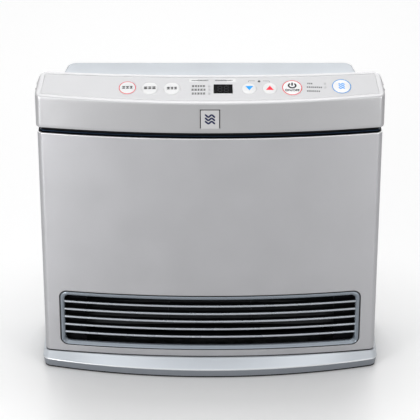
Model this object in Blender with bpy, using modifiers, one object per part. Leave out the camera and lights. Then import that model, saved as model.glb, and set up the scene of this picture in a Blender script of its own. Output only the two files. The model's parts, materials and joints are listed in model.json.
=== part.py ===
"""Gas fan heater: a bowed painted front with a warm-air louvre, a sloping control panel on a
top cover, a plinth, and the fan, burner and gas train inside. Metres, +Z up, front towards -Y.
The origin is on the floor, under the middle of the whole heater."""

import math

import bmesh
import bpy
import numpy as np
from mathutils import Matrix, Vector

# Overall sizes
BODY_WIDTH = 0.466
BODY_DEPTH = 0.130
PLINTH_OVERHANG = 0.0045
COVER_OVERHANG = 0.0015
PLINTH_AHEAD = 0.019
PLINTH_BEHIND = 0.016
BODY_BOW = 0.0201
PLINTH_BOW = 0.0328
PANEL_HEIGHT = 0.3423
RECESS_HEIGHT = 0.0084
COVER_HEIGHT = 0.0652
GAP = 0.0003

# Plinth and feet
FOOT_HEIGHT = 0.002
FOOT_RADIUS = 0.011
FOOT_STEM_RADIUS = 0.003
FOOT_STEM_LENGTH = 0.006
FOOT_INSET_X = 0.040
FOOT_INSET_Y = 0.024
PLINTH_SIDE_HEIGHT = 0.0118
PLINTH_RISE = 0.0098
PLINTH_WALL = 0.003
PLINTH_CORNER = 0.014
EDGE_ROUND = 0.0012

# Sheet metal
PANEL_WALL = 0.0015
PANEL_CORNER = 0.009
PANEL_TOP_ROUND = 0.003
PANEL_FLANGE = 0.008
PANEL_RETURN = 0.050
PLATE = 0.0012
BULKHEAD_SETBACK = 0.0175

# Louvre
LOUVRE_MARGIN = 0.023
LOUVRE_RISE = 0.0129
LOUVRE_HEIGHT = 0.0864
LOUVRE_CORNER = 0.010
LOUVRE_SIDE_RIM = 0.0063
LOUVRE_BOTTOM_RIM = 0.0092
LOUVRE_DEPTH = 0.0165
LOUVRE_PROUD = 0.0008
LOUVRE_LIP = 0.005
LOUVRE_BARS = 5
BAR_THICKNESS = 0.0034
BAR_DEPTH = 0.0100
BAR_SETBACK = 0.0012

# Top cover and control panel
COVER_PROUD = 0.0015
COVER_DEPTH = 0.0483
COVER_BACK_BOW = 0.01325
COVER_SLOPE = math.radians(21.95)
COVER_TAPER = 0.005
COVER_FRONT_CORNER = 0.008
COVER_BACK_CORNER = 0.012
COVER_END_ROUND = 0.004
COVER_WALL = 0.003
COVER_TOP_WALL = 0.005
FRONT_RIM = 0.003
BACK_RIM = 0.003
RECESS_INSET = 0.004
RECESS_WALL = 0.0025
PANEL_PLATE = 0.002
PANEL_FRONT_RIM = 0.005
PANEL_BACK_RIM = 0.0055
PANEL_END_RIM = 0.008
PANEL_LEDGE = 0.0022

# Controls, each placed by its distance across from the middle
BUTTON_LINE = 0.0248
BUTTONS = (
    ("button_save", -0.1104, 0.0115),
    ("button_night", -0.0804, 0.0110),
    ("button_morning", -0.0509, 0.0110),
    ("button_down", 0.0525, 0.0095),
    ("button_up", 0.0799, 0.0095),
    ("button_power", 0.1098, 0.0135),
    ("button_air", 0.1761, 0.0129),
)
BUTTON_PROUD = 0.0012
BUTTON_EDGE = 0.0005
BUTTON_FLANGE = 0.0015
BUTTON_FLANGE_THICK = 0.0012
BUTTON_TRAVEL = 0.0010
STEM_RADIUS = 0.0030
SWITCH_SIZE = 0.0060
SWITCH_HEIGHT = 0.0043
BOARD_DROP = 0.0140
BOARD_LINE = 0.0210
BOARD_LENGTH = 0.330
BOARD_MIDDLE = 0.030
BOARD_WIDTH = 0.021
BOARD_THICK = 0.0016
POST_RADIUS = 0.0025
POST_PLACES = (-0.128, 0.140)
POST_SPREAD = 0.0065
WINDOW_X = 0.0175
WINDOW_WIDTH = 0.025
WINDOW_LENGTH = 0.0160
WINDOW_LIP = 0.0015
DISPLAY_MARGIN = 0.001
LAMP_RADIUS = 0.0012
LAMP_GUIDES = (
    ("lamp_guide_mode", -0.0008, (0.0202, 0.0262, 0.0327)),
    ("lamp_guide_air", 0.1540, (0.0189, 0.0254)),
)
LAMP_STRIP = 0.0040
BADGE_WIDTH = 0.0267
BADGE_HEIGHT = 0.0281
BADGE_FROM_BOTTOM = 0.0079
BADGE_THICK = 0.0013
BADGE_DEPTH = 0.0012

# Rear case, deck and filter
CASE_WALL = 0.002
CASE_CORNER = 0.014
CASE_TOP_ROUND = 0.006
SHOULDER_HEIGHT = 0.0304
DECK_DROP = 0.008
DECK_INSET = 0.030
DECK_BACK_INSET = 0.0395
DECK_FROM_BACK = 0.0247
DECK_CORNER = 0.012
DECK_FOOT = 0.0035
DECK_LEAN = 0.014
DECK_OVERLAP = 0.002
FILTER_MARGIN = 0.061
FILTER_RISE = 0.0964
FILTER_FROM_TOP = 0.0345
FILTER_THICK = 0.0065
FILTER_FRAME = 0.008
FILTER_MESH = 0.0012
FILTER_BAR = 0.004
FILTER_COLUMNS = 4
FILTER_ROWS = 2
FILTER_TAB = 0.030
GRIP_WIDTH = 0.056
GRIP_HEIGHT = 0.024
GRIP_DEPTH = 0.014
GRIP_FROM_SEAM = 0.006
GRIP_FROM_TOP = 0.0413
INSERT_FLANGE = 0.003

# Fan
FAN_FRONT_ROOM = 0.0295
FAN_BACK_ROOM = 0.0245
FAN_END_ROOM = 0.014
FAN_FLOOR_ROOM = 0.0188
FAN_BLADES = 16
FAN_BLADE_DEPTH = 0.011
FAN_BLADE_THICK = 0.0014
FAN_DISCS = 4
FAN_DISC_THICK = 0.0020
SHAFT_RADIUS = 0.004
BEARING_RADIUS = 0.009
BEARING_FLANGE = 0.003
BEARING_LENGTH = 0.008
MOTOR_RADIUS = 0.028
MOTOR_LENGTH = 0.033
MOTOR_BORE = 0.016
SCROLL_GAP = 0.005
SCROLL_GROWTH = 0.006
SCROLL_START = math.radians(-40)
SCROLL_END = math.radians(95)
DUCT_SETBACK = 0.032
TONGUE_GAP = 0.007
TONGUE_ANGLE = math.radians(133)

# Burner and gas train
CHAMBER_SETBACK = 0.0255
CHAMBER_BACK_ROOM = 0.0365
CHAMBER_RISE = 0.004
CHAMBER_HEAD_ROOM = 0.0313
CHAMBER_SLOT = (0.250, 0.030)
TRAY_RISE = 0.040
TRAY_HEIGHT = 0.012
TRAY_WIDTH = 0.034
BURNER_END_ROOM = 0.040
BURNER_WIDTH = 0.028
BURNER_HEIGHT = 0.020
BURNER_PORTS = 14
PORT_WIDTH = 0.003
PORT_DEPTH = 0.004
MANIFOLD_DROP = 0.012
MANIFOLD_RADIUS = 0.005
NOZZLES = 4
NOZZLE_RADIUS = 0.003
VALVE_SIZE = (0.034, 0.050, 0.044)
VALVE_ENTRY = 0.008
SOLENOID_RADIUS = 0.009
SOLENOID_HEIGHT = 0.024
SOLENOID_SPREAD = 0.013
PIPE_RADIUS = 0.0045
PIPE_BEND = 0.014
PIPE_FROM_BACK = 0.0185
INLET_RISE = 0.036
INLET_RADIUS = 0.008
INLET_COLLAR = 0.011
INLET_COLLAR_THICK = 0.003
NIPPLE_RADIUS = 0.0055
NIPPLE_LENGTH = 0.0102
NIPPLE_RIDGE = 0.001
NIPPLE_LEAD = 0.003
ROD_RADIUS = 0.0015
CERAMIC_RADIUS = 0.004
CERAMIC_LENGTH = 0.022
ROD_LENGTH = 0.036
ROD_RISE = 0.020
SHIELD_SETBACK = 0.0195
SHIELD_ABOVE_LOUVRE = 0.0197

# Electrical parts
POWER_BOARD = (0.070, 0.140)
POWER_BOARD_SETBACK = 0.0735
POWER_BOARD_DROP = 0.0115
STANDOFF = 0.005
TRANSFORMER = (0.030, 0.040, 0.036)
SIDE_CLEARANCE = 0.0026
IGNITER = (0.024, 0.050, 0.040)
IGNITER_RISE = 0.030
THERMOSTAT_RADIUS = 0.008
THERMOSTAT_THICK = 0.006
THERMOSTAT_RISE = 0.090
THERMISTOR = (0.008, 0.006, 0.012)
THERMISTOR_X = 0.120
ION_UNIT = (0.060, 0.028, 0.018)
TIP_SWITCH = (0.022, 0.016, 0.020)
GLAND_RADIUS = 0.0077
GLAND_FLANGE = 0.010
GLAND_FLANGE_THICK = 0.002
GLAND_BORE = 0.0035

# How finely round shapes are cut
BOW_STEPS = 9
CORNER_STEPS = 4
ROUND_SIDES = 20
SMALL_SIDES = 12
REACH = 0.02

# Places that follow from the sizes above
BASE_DEPTH = PLINTH_AHEAD + BODY_DEPTH + PLINTH_BEHIND
PLINTH_FRONT = -BASE_DEPTH / 2
BODY_FRONT = PLINTH_FRONT + PLINTH_AHEAD
BODY_BACK = BODY_FRONT + BODY_DEPTH
BODY_HALF = BODY_WIDTH / 2
BASE_HALF = BODY_HALF + PLINTH_OVERHANG
COVER_HALF = BODY_HALF + COVER_OVERHANG
PLATE_HALF = COVER_HALF - PANEL_END_RIM
RETURN_BACK = BODY_FRONT + PANEL_RETURN
PLINTH_EDGE = FOOT_HEIGHT + PLINTH_SIDE_HEIGHT
PLINTH_TOP = PLINTH_EDGE + PLINTH_RISE
PANEL_BOTTOM = PLINTH_TOP + GAP
PANEL_TOP = PANEL_BOTTOM + PANEL_HEIGHT
COVER_BOTTOM = PANEL_TOP + RECESS_HEIGHT
COVER_TOP = COVER_BOTTOM + COVER_HEIGHT
SHOULDER = COVER_BOTTOM + SHOULDER_HEIGHT
DECK_TOP = COVER_TOP - DECK_DROP
FLOOR_TOP = PANEL_BOTTOM + PLATE
TRAY_TOP = PANEL_TOP - PANEL_WALL - GAP
BULKHEAD_TOP = TRAY_TOP - PLATE - GAP
BULKHEAD_FRONT = BODY_FRONT + BULKHEAD_SETBACK
BOARD_STACK = STANDOFF + BOARD_THICK + TRANSFORMER[0] + 2 * GAP
BULKHEAD_OUT = BODY_HALF - CASE_WALL - SIDE_CLEARANCE - BOARD_STACK
BULKHEAD_X = BULKHEAD_OUT - PLATE
INNER_SPAN = 2 * (BULKHEAD_X - GAP)
LOUVRE_WIDTH = BODY_WIDTH - 2 * LOUVRE_MARGIN
LOUVRE_BOTTOM = PANEL_BOTTOM + LOUVRE_RISE
LOUVRE_TOP = LOUVRE_BOTTOM + LOUVRE_HEIGHT
FAN_RADIUS = (BODY_DEPTH - FAN_FRONT_ROOM - FAN_BACK_ROOM) / 2
FAN_LENGTH = 2 * (BULKHEAD_X - FAN_END_ROOM)
FAN_Y = BODY_FRONT + FAN_FRONT_ROOM + FAN_RADIUS
FAN_Z = FLOOR_TOP + FAN_FLOOR_ROOM + FAN_RADIUS
TRAY_BOTTOM = FAN_Z + FAN_RADIUS + TRAY_RISE
MANIFOLD_Z = TRAY_BOTTOM - MANIFOLD_DROP
CHAMBER_FRONT = BODY_FRONT + CHAMBER_SETBACK
CHAMBER_BACK = BODY_BACK - CHAMBER_BACK_ROOM
CHAMBER_BOTTOM = TRAY_BOTTOM + TRAY_HEIGHT + CHAMBER_RISE
CHAMBER_TOP = TRAY_TOP - PLATE - CHAMBER_HEAD_ROOM
BURNER_HALF = BULKHEAD_X - BURNER_END_ROOM
BURNER_Y = (CHAMBER_FRONT + CHAMBER_BACK) / 2
BURNER_SEAT = TRAY_BOTTOM + PLATE + GAP
ROD_Z = BURNER_SEAT + BURNER_HEIGHT + ROD_RISE
SHIELD_Y = BODY_FRONT + SHIELD_SETBACK
POWER_BOARD_Y = BODY_FRONT + POWER_BOARD_SETBACK
PIPE_DROP_Y = BODY_BACK - PIPE_FROM_BACK
INLET_Z = PANEL_BOTTOM + INLET_RISE
FILTER_WIDTH = BODY_WIDTH - 2 * FILTER_MARGIN
FILTER_HEIGHT = PANEL_HEIGHT - FILTER_RISE - FILTER_FROM_TOP
FILTER_BOTTOM = PANEL_BOTTOM + FILTER_RISE
FILTER_BACK = BODY_BACK - CASE_WALL / 2
FILTER_FRONT = FILTER_BACK - FILTER_THICK
DECK_HALF = BODY_HALF - DECK_INSET
DECK_BACK_HALF = BODY_HALF - DECK_BACK_INSET
DECK_BACK = BODY_BACK - DECK_FROM_BACK
DUCT_FRONT = BODY_FRONT + DUCT_SETBACK
VALVE_X = BULKHEAD_OUT + GAP + VALVE_SIZE[0] / 2
INLET_X = VALVE_X


def clear_scene():
    for obj in list(bpy.data.objects):
        bpy.data.objects.remove(obj, do_unlink=True)


def new_collection(name, cutters=False):
    group = bpy.data.collections.new(name)
    bpy.context.scene.collection.children.link(group)
    group.hide_render = cutters
    return group


def material(name, colour, roughness, metallic=0.0):
    made = bpy.data.materials.new(name)
    made.use_nodes = True
    shader = made.node_tree.nodes["Principled BSDF"]
    shader.inputs["Base Color"].default_value = (*colour, 1.0)
    shader.inputs["Roughness"].default_value = roughness
    shader.inputs["Metallic"].default_value = metallic
    return made


def obj_of(mesh, name):
    """An object for a mesh, kept with the cutters until keep() makes it a part."""
    obj = bpy.data.objects.new(name, mesh)
    obj.hide_render = True
    obj.display_type = "WIRE"
    CUTTERS.objects.link(obj)
    return obj


def keep(obj, name, finish):
    """Makes a shape one of the heater's parts, with its own finish."""
    obj.name = name
    obj.data.name = name
    obj.hide_render = False
    obj.display_type = "TEXTURED"
    CUTTERS.objects.unlink(obj)
    HEATER.objects.link(obj)
    obj.data.materials.clear()
    obj.data.materials.append(finish)
    return obj


def mesh_of(bm, name, smooth=False):
    bmesh.ops.recalc_face_normals(bm, faces=bm.faces)
    mesh = bpy.data.meshes.new(name)
    bm.to_mesh(mesh)
    bm.free()
    if smooth:
        mesh.shade_smooth()
        mesh.set_sharp_from_angle(angle=math.radians(35))
    return mesh


def box(low, high, name="box"):
    """A box between two opposite corners."""
    low, high = Vector(low), Vector(high)
    bm = bmesh.new()
    place = Matrix.Translation((low + high) / 2) @ Matrix.Diagonal((*(high - low), 1.0))
    bmesh.ops.create_cube(bm, size=1.0, matrix=place)
    return obj_of(mesh_of(bm, name), name)


def rod(start, end, radius, sides=ROUND_SIDES, name="rod"):
    """A cylinder from one point to another."""
    start, end = Vector(start), Vector(end)
    along = end - start
    turn = along.to_track_quat("Z", "Y").to_matrix().to_4x4()
    bm = bmesh.new()
    bmesh.ops.create_cone(
        bm,
        cap_ends=True,
        segments=sides,
        radius1=radius,
        radius2=radius,
        depth=along.length,
        matrix=Matrix.Translation((start + end) / 2) @ turn,
    )
    return obj_of(mesh_of(bm, name, smooth=True), name)


def turned(profile, place, sides=ROUND_SIDES, name="turned"):
    """A turned solid: (radius, height) pairs from the top down, spun about the Z axis of place."""
    mesh = bpy.data.meshes.new(name)
    edges = [(i, i + 1) for i in range(len(profile) - 1)]
    mesh.from_pydata([(radius, 0, height) for radius, height in profile], edges, [])
    obj = obj_of(mesh, name)
    obj.matrix_world = place
    screw = obj.modifiers.new("turn", "SCREW")
    screw.steps = screw.render_steps = sides
    screw.use_merge_vertices = True
    screw.merge_threshold = 1e-5
    screw.use_smooth_shade = True
    return obj


def slab(outlines, low, high, plane="XY", name="slab"):
    """A flat plate: closed outlines, the later ones holes in the first, from low to high square
    to their plane. XZ outlines run along Y and YZ outlines along X."""
    curve = bpy.data.curves.new(name, "CURVE")
    curve.dimensions = "2D"
    curve.fill_mode = "BOTH"
    curve.extrude = (high - low) / 2
    for outline in outlines:
        spline = curve.splines.new("POLY")
        spline.points.add(len(outline) - 1)
        for point, (u, v) in zip(spline.points, outline):
            point.co = (u, v, 0, 1)
        spline.use_cyclic_u = True
    guide = bpy.data.objects.new(name, curve)
    CUTTERS.objects.link(guide)
    bpy.context.view_layer.update()
    graph = bpy.context.evaluated_depsgraph_get()
    mesh = bpy.data.meshes.new_from_object(guide.evaluated_get(graph))
    bpy.data.objects.remove(guide)
    middle = (low + high) / 2
    sideways = Matrix(((0, 0, 1, 0), (1, 0, 0, 0), (0, 1, 0, 0), (0, 0, 0, 1)))
    turn = {
        "XY": Matrix.Translation((0, 0, middle)),
        "XZ": Matrix.Translation((0, middle, 0)) @ Matrix.Rotation(math.pi / 2, 4, "X"),
        "YZ": Matrix.Translation((middle, 0, 0)) @ sideways,
    }
    mesh.transform(turn[plane])
    bm = bmesh.new()
    bm.from_mesh(mesh)
    bmesh.ops.remove_doubles(bm, verts=bm.verts, dist=1e-6)
    return obj_of(mesh_of(bm, name, smooth=True), name)


def loft(rings, name="loft"):
    """A closed solid through rings of points, each with as many points as the last."""
    bm = bmesh.new()
    rows = [[bm.verts.new(point) for point in ring] for ring in rings]
    count = len(rows[0])
    for lower, upper in zip(rows, rows[1:]):
        for i in range(count):
            bm.faces.new((lower[i], lower[(i + 1) % count], upper[(i + 1) % count], upper[i]))
    bm.faces.new(rows[0])
    bm.faces.new(rows[-1])
    return obj_of(mesh_of(bm, name, smooth=True), name)


def combine(target, other, operation):
    other.hide_render = True
    joined = target.modifiers.new(operation.lower(), "BOOLEAN")
    joined.operation = operation
    joined.object = other
    joined.solver = "EXACT"
    return target


def cut(target, *others):
    for other in others:
        combine(target, other, "DIFFERENCE")
    return target


def join(target, *others):
    for other in others:
        combine(target, other, "UNION")
    return target


def bow_radius(half, bow):
    """The radius of an arc that falls back by bow over half its width."""
    return (half * half + bow * bow) / (2 * bow)


def bow_back(x, half=BODY_HALF, bow=BODY_BOW):
    """How far a bowed front has fallen back at a distance x from its middle."""
    radius = bow_radius(half, bow)
    return radius - math.sqrt(radius * radius - x * x)


def arc(centre, radius, start, end, steps):
    """Points on an arc, with angles counted from -Y towards +X."""
    return [
        (centre[0] + radius * math.sin(angle), centre[1] - radius * math.cos(angle))
        for angle in np.linspace(start, end, steps + 1)
    ]


def both_sides(right):
    """Closes a right-hand half outline with its mirror image."""
    return right + [(-x, y) for x, y in reversed(right) if x > 0]


def plan(half, front, bow, back, front_round, back_round, inset=0.0):
    """A plan outline drawn in by inset: a bowed front, straight sides and rounded corners."""
    radius = bow_radius(half, bow)
    centre = front + radius
    radius, half, back = radius - inset, half - inset, back - inset
    near = max(front_round - inset, 0.0005)
    side = half - near
    corner = (side, centre - math.sqrt((radius - near) ** 2 - side**2))
    lean = math.atan2(corner[0], centre - corner[1])
    right = arc((0, centre), radius, 0, lean, BOW_STEPS)
    right += arc(corner, near, lean, math.pi / 2, CORNER_STEPS)[1:]
    if back_round > inset:
        far = back_round - inset
        right += arc((half - far, back - far), far, math.pi / 2, math.pi, CORNER_STEPS)
    else:
        right.append((half, back))
    return both_sides(right)


def body_plan(inset=0.0, back=BODY_BACK, back_round=CASE_CORNER):
    return plan(BODY_HALF, BODY_FRONT, BODY_BOW, back, PANEL_CORNER, back_round, inset)


def at(outline, z):
    return [(x, y, z) for x, y in outline]


def rounded_rect(width, low, height, radius):
    """A rounded rectangle centred across, standing on low."""
    right, top = width / 2 - radius, low + height - radius
    low += radius
    corners = ((right, low, 0), (right, top, 1), (-right, top, 2), (-right, low, 3))
    points = []
    for x, z, quarter in corners:
        start = quarter * math.pi / 2
        points += arc((x, z), radius, start, start + math.pi / 2, CORNER_STEPS)
    return points


def bowed_strip(front, depth, half):
    """A strip whose front and back both follow the body's bow."""
    centre = BODY_FRONT + bow_radius(BODY_HALF, BODY_BOW)
    outer, inner = centre - front, centre - front - depth
    lean = math.asin(half / outer)
    fronts = arc((0, centre), outer, -lean, lean, 2 * BOW_STEPS)
    backs = arc((0, centre), inner, lean, -lean, 2 * BOW_STEPS)
    return fronts + backs


def sheet(points, thickness):
    """The outline of a bent sheet that follows a line of (y, z) points on its middle."""
    line = np.array(points)
    along = np.gradient(line, axis=0)
    along /= np.linalg.norm(along, axis=1)[:, None]
    across = np.stack([-along[:, 1], along[:, 0]], axis=1) * thickness / 2
    return [tuple(p) for p in line + across] + [tuple(p) for p in (line - across)[::-1]]


def fall(distance, radius):
    """How far a rounded corner has dropped, at a distance past the start of its round."""
    past = min(max(distance, 0.0), radius)
    return radius - math.sqrt(radius * radius - past * past)


def cover_front(x):
    return BODY_FRONT - COVER_PROUD + bow_back(x, COVER_HALF)


def cover_back(x):
    return BODY_FRONT + COVER_DEPTH + COVER_BACK_BOW * (x / COVER_HALF) ** 2


def cover_surface(x, y):
    """The height of the sloping top over a place in plan."""
    return COVER_TOP - math.tan(COVER_SLOPE) * (cover_back(x) - y)


def tapered(x, y, z):
    """Draws the cover's ends in towards the back."""
    front, back = cover_front(COVER_HALF), cover_back(COVER_HALF)
    return (x * (1 - COVER_TAPER / COVER_HALF * (y - front) / (back - front)), y, z)


def bend(corner, start, end, steps=3):
    """Points round a corner, from one leg's end to the other's."""
    corner, start, end = np.array(corner), np.array(start), np.array(end)
    return [
        tuple((1 - t) ** 2 * start + 2 * t * (1 - t) * corner + t * t * end)
        for t in np.linspace(0, 1, steps + 1)
    ]


def cover_shape(side, top, bottom, name):
    """The cover as sections across it, drawn in by side and top, and standing on bottom."""
    slope = np.array((math.cos(COVER_SLOPE), math.sin(COVER_SLOPE)))
    half = COVER_HALF - side
    front_corner, back_corner = COVER_FRONT_CORNER - side, COVER_BACK_CORNER - side
    flat = half - back_corner
    turn = back_corner * np.sin(np.radians((22, 45, 65, 80, 90)))
    right = list(np.linspace(0, flat, BOW_STEPS)) + list(flat + turn)
    sections = []
    for x in [-x for x in reversed(right[1:])] + right:
        reach = abs(x)
        front = cover_front(x) + side + fall(reach - (half - front_corner), front_corner)
        back = cover_back(x) - side - fall(reach - flat, back_corner)
        drop = top + fall(reach - (half - COVER_END_ROUND), COVER_END_ROUND)
        lift = bottom + (0 if side > 0 else fall(reach - (half - COVER_WALL), COVER_WALL) / 2)
        near = np.array((front, cover_surface(x, front) - drop))
        far = np.array((back, cover_surface(x, back) - drop))
        ring = [(front, lift)]
        ring += bend(near, near - (0, FRONT_RIM), near + slope * FRONT_RIM)
        ring += bend(far, far - slope * BACK_RIM, far - (0, BACK_RIM))
        ring += [(back, lift)]
        sections.append([tapered(x, y, z) for y, z in ring])
    return loft(sections, name)


def panel_slice(rim, low, high, name):
    """A slice under the sloping surface, inside the cover's rims, from low to high."""
    half = PLATE_HALF - rim
    sections = []
    for x in np.linspace(-half, half, 2 * BOW_STEPS + 1):
        front = cover_front(x) + PANEL_FRONT_RIM + rim
        back = cover_back(x) - PANEL_BACK_RIM - rim
        corners = ((front, low), (front, high), (back, high), (back, low))
        sections.append([tapered(x, y, cover_surface(x, y) + z) for y, z in corners])
    return loft(sections, name)


def panel_frame(x, line):
    """A frame on the sloping surface, at x across and line down from the back rim: its Z axis
    stands square to the surface there and its Y axis runs up the slope."""
    y = cover_back(x) - line
    tilt = 2 * math.tan(COVER_SLOPE) * COVER_BACK_BOW * x / COVER_HALF**2
    normal = Vector((tilt, -math.tan(COVER_SLOPE), 1)).normalized()
    across = Vector((0, 1, 0)).cross(normal).normalized()
    turn = Matrix((across, normal.cross(across), normal)).transposed().to_4x4()
    return Matrix.Translation((x, y, cover_surface(x, y))) @ turn


def in_frame(frame, low, high, name="box"):
    """A box between two corners given in a frame's own axes."""
    obj = box(low, high, name)
    obj.matrix_world = frame
    return obj


def make_plinth():
    """Base plinth: upright sides, then a skirt that slopes up to the body, hollow underneath."""

    def outer(inset):
        return plan(BASE_HALF, PLINTH_FRONT, PLINTH_BOW, -PLINTH_FRONT, PLINTH_CORNER, PLINTH_CORNER, inset)

    def upper(inset):
        return body_plan(inset - EDGE_ROUND / 2)

    shape = loft(
        [
            at(outer(EDGE_ROUND), FOOT_HEIGHT),
            at(outer(0), FOOT_HEIGHT + EDGE_ROUND),
            at(outer(0), PLINTH_EDGE - EDGE_ROUND),
            at(outer(EDGE_ROUND), PLINTH_EDGE),
            at(upper(0), PLINTH_TOP),
        ]
    )
    hollow = loft(
        [
            at(outer(PLINTH_WALL), -REACH),
            at(outer(PLINTH_WALL), PLINTH_EDGE - PLINTH_WALL),
            at(upper(PLINTH_WALL), PLINTH_TOP - PLINTH_WALL),
        ]
    )
    cut(shape, hollow)
    roof = PLINTH_TOP - PLINTH_WALL / 2
    depth = FOOT_HEIGHT + FOOT_STEM_LENGTH + GAP
    for x, y in foot_places():
        boss = rod((x, y, FOOT_HEIGHT), (x, y, roof), FOOT_RADIUS, SMALL_SIDES)
        socket = rod((x, y, 0), (x, y, depth), FOOT_STEM_RADIUS + GAP, SMALL_SIDES)
        cut(join(shape, boss), socket)
    keep(shape, "base_plinth", SILVER_BLUE)


def foot_places():
    side = BASE_HALF - FOOT_INSET_X
    front = PLINTH_FRONT + bow_back(side, BASE_HALF, PLINTH_BOW) + FOOT_INSET_Y
    return [(x, y) for y in (front, -PLINTH_FRONT - FOOT_INSET_Y) for x in (-side, side)]


def make_feet():
    names = ("foot_front_left", "foot_front_right", "foot_rear_left", "foot_rear_right")
    pad = FOOT_HEIGHT - GAP
    profile = (
        (0, FOOT_HEIGHT + FOOT_STEM_LENGTH),
        (FOOT_STEM_RADIUS, FOOT_HEIGHT + FOOT_STEM_LENGTH),
        (FOOT_STEM_RADIUS, pad),
        (FOOT_RADIUS, pad),
        (FOOT_RADIUS, 0),
        (0, 0),
    )
    for name, (x, y) in zip(names, foot_places()):
        foot = turned(profile, Matrix.Translation((x, y, 0)), SMALL_SIDES)
        keep(foot, name, RUBBER)


def make_front_panel():
    """Front panel: a bowed steel front with returned sides, a rolled top edge and the louvre's hole."""

    def outline(inset=0.0, back=RETURN_BACK):
        return body_plan(inset, back, 0.0)

    turn = PANEL_TOP_ROUND * (1 - math.sqrt(0.5))
    shape = loft(
        [
            at(outline(), PANEL_BOTTOM),
            at(outline(), PANEL_TOP - PANEL_TOP_ROUND),
            at(outline(turn, RETURN_BACK + turn), PANEL_TOP - turn),
            at(outline(PANEL_TOP_ROUND, RETURN_BACK + PANEL_TOP_ROUND), PANEL_TOP),
        ]
    )
    behind = RETURN_BACK + REACH
    hollow = slab([outline(PANEL_WALL, behind)], PANEL_BOTTOM - REACH, PANEL_TOP - PANEL_WALL)
    mouth = slab([outline(PANEL_FLANGE, behind)], PANEL_TOP - REACH, PANEL_TOP + REACH)
    cut(shape, hollow, mouth, louvre_cutter())
    keep(shape, "front_panel", SILVER)


def louvre_cutter():
    edge = 2 * GAP
    outline = rounded_rect(
        LOUVRE_WIDTH + 2 * edge, LOUVRE_BOTTOM - edge, LOUVRE_HEIGHT + 2 * edge, LOUVRE_CORNER + edge
    )
    return slab([outline], BODY_FRONT - REACH, BODY_FRONT + BODY_BOW + REACH, "XZ")


def bar_heights():
    """The middle heights of the louvre's bars, evenly spaced inside its rim."""
    low = LOUVRE_BOTTOM + LOUVRE_BOTTOM_RIM
    high = LOUVRE_TOP - LOUVRE_SIDE_RIM
    return [float(z) for z in np.linspace(low, high, LOUVRE_BARS + 2)[1:-1]]


def make_louvre():
    """Louvre: a rounded rim that follows the bow, held behind the panel by a lip, and its bars."""
    inner_width = LOUVRE_WIDTH - 2 * LOUVRE_SIDE_RIM
    inner_height = LOUVRE_HEIGHT - LOUVRE_SIDE_RIM - LOUVRE_BOTTOM_RIM
    corner = LOUVRE_CORNER - LOUVRE_SIDE_RIM / 2
    hole = rounded_rect(inner_width, LOUVRE_BOTTOM + LOUVRE_BOTTOM_RIM, inner_height, corner)
    deep = (BODY_FRONT - REACH, BODY_FRONT + BODY_BOW + 2 * REACH)
    rim = slab([rounded_rect(LOUVRE_WIDTH, LOUVRE_BOTTOM, LOUVRE_HEIGHT, LOUVRE_CORNER), hole], *deep, "XZ")
    body = slab([bowed_strip(BODY_FRONT - LOUVRE_PROUD, LOUVRE_DEPTH, BODY_HALF)], 0, PANEL_TOP)
    combine(rim, body, "INTERSECT")
    lip_outline = rounded_rect(
        LOUVRE_WIDTH + 2 * LOUVRE_LIP,
        LOUVRE_BOTTOM - LOUVRE_LIP,
        LOUVRE_HEIGHT + 2 * LOUVRE_LIP,
        LOUVRE_CORNER + LOUVRE_LIP,
    )
    lip = slab([lip_outline, hole], *deep, "XZ")
    behind = slab([bowed_strip(BODY_FRONT + PANEL_WALL + GAP, PANEL_WALL, BODY_HALF)], 0, PANEL_TOP)
    join(rim, combine(lip, behind, "INTERSECT"))
    strip = bowed_strip(BODY_FRONT + BAR_SETBACK, BAR_DEPTH, inner_width / 2 + LOUVRE_SIDE_RIM / 3)
    for middle in bar_heights():
        join(rim, slab([strip], middle - BAR_THICKNESS / 2, middle + BAR_THICKNESS / 2))
    keep(rim, "louvre_grille", BLUE_GREY)


def make_recess_trim():
    """Dark band that shows between the front panel and the cover, and carries the cover."""
    back = BODY_FRONT + COVER_DEPTH + RECESS_INSET
    outer = body_plan(RECESS_INSET, back, 0.0)
    inner = body_plan(RECESS_INSET + RECESS_WALL, back, 0.0)
    ring = slab([outer, inner], PANEL_TOP + GAP, COVER_BOTTOM - GAP)
    keep(ring, "recess_trim", NAVY)


def make_cover():
    """Top cover: bowed front, sloping top with rounded rims, and a seat for the control panel."""
    cover = cover_shape(0.0, 0.0, COVER_BOTTOM, "top_cover")
    hollow = cover_shape(COVER_WALL, COVER_TOP_WALL, COVER_BOTTOM - REACH, "cover_hollow")
    seat = panel_slice(-GAP, -PANEL_PLATE - GAP, REACH, "panel_seat")
    window = panel_slice(PANEL_LEDGE, -REACH, REACH, "panel_window")
    front = cover_front(0)
    badge_low = COVER_BOTTOM + BADGE_FROM_BOTTOM
    pocket = box(
        (-BADGE_WIDTH / 2 - GAP, front - REACH, badge_low - GAP),
        (BADGE_WIDTH / 2 + GAP, front + BADGE_DEPTH, badge_low + BADGE_HEIGHT + GAP),
    )
    cut(cover, hollow, seat, window, pocket)
    keep(cover, "top_cover", SILVER_WHITE)


def make_badge():
    """Plain square plate in its pocket on the cover's front."""
    back = cover_front(0) + BADGE_DEPTH - GAP
    low = COVER_BOTTOM + BADGE_FROM_BOTTOM
    outline = rounded_rect(BADGE_WIDTH, low, BADGE_HEIGHT, BUTTON_EDGE)
    keep(slab([outline], back - BADGE_THICK, back, "XZ"), "badge_plate", SILVER)


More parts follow.
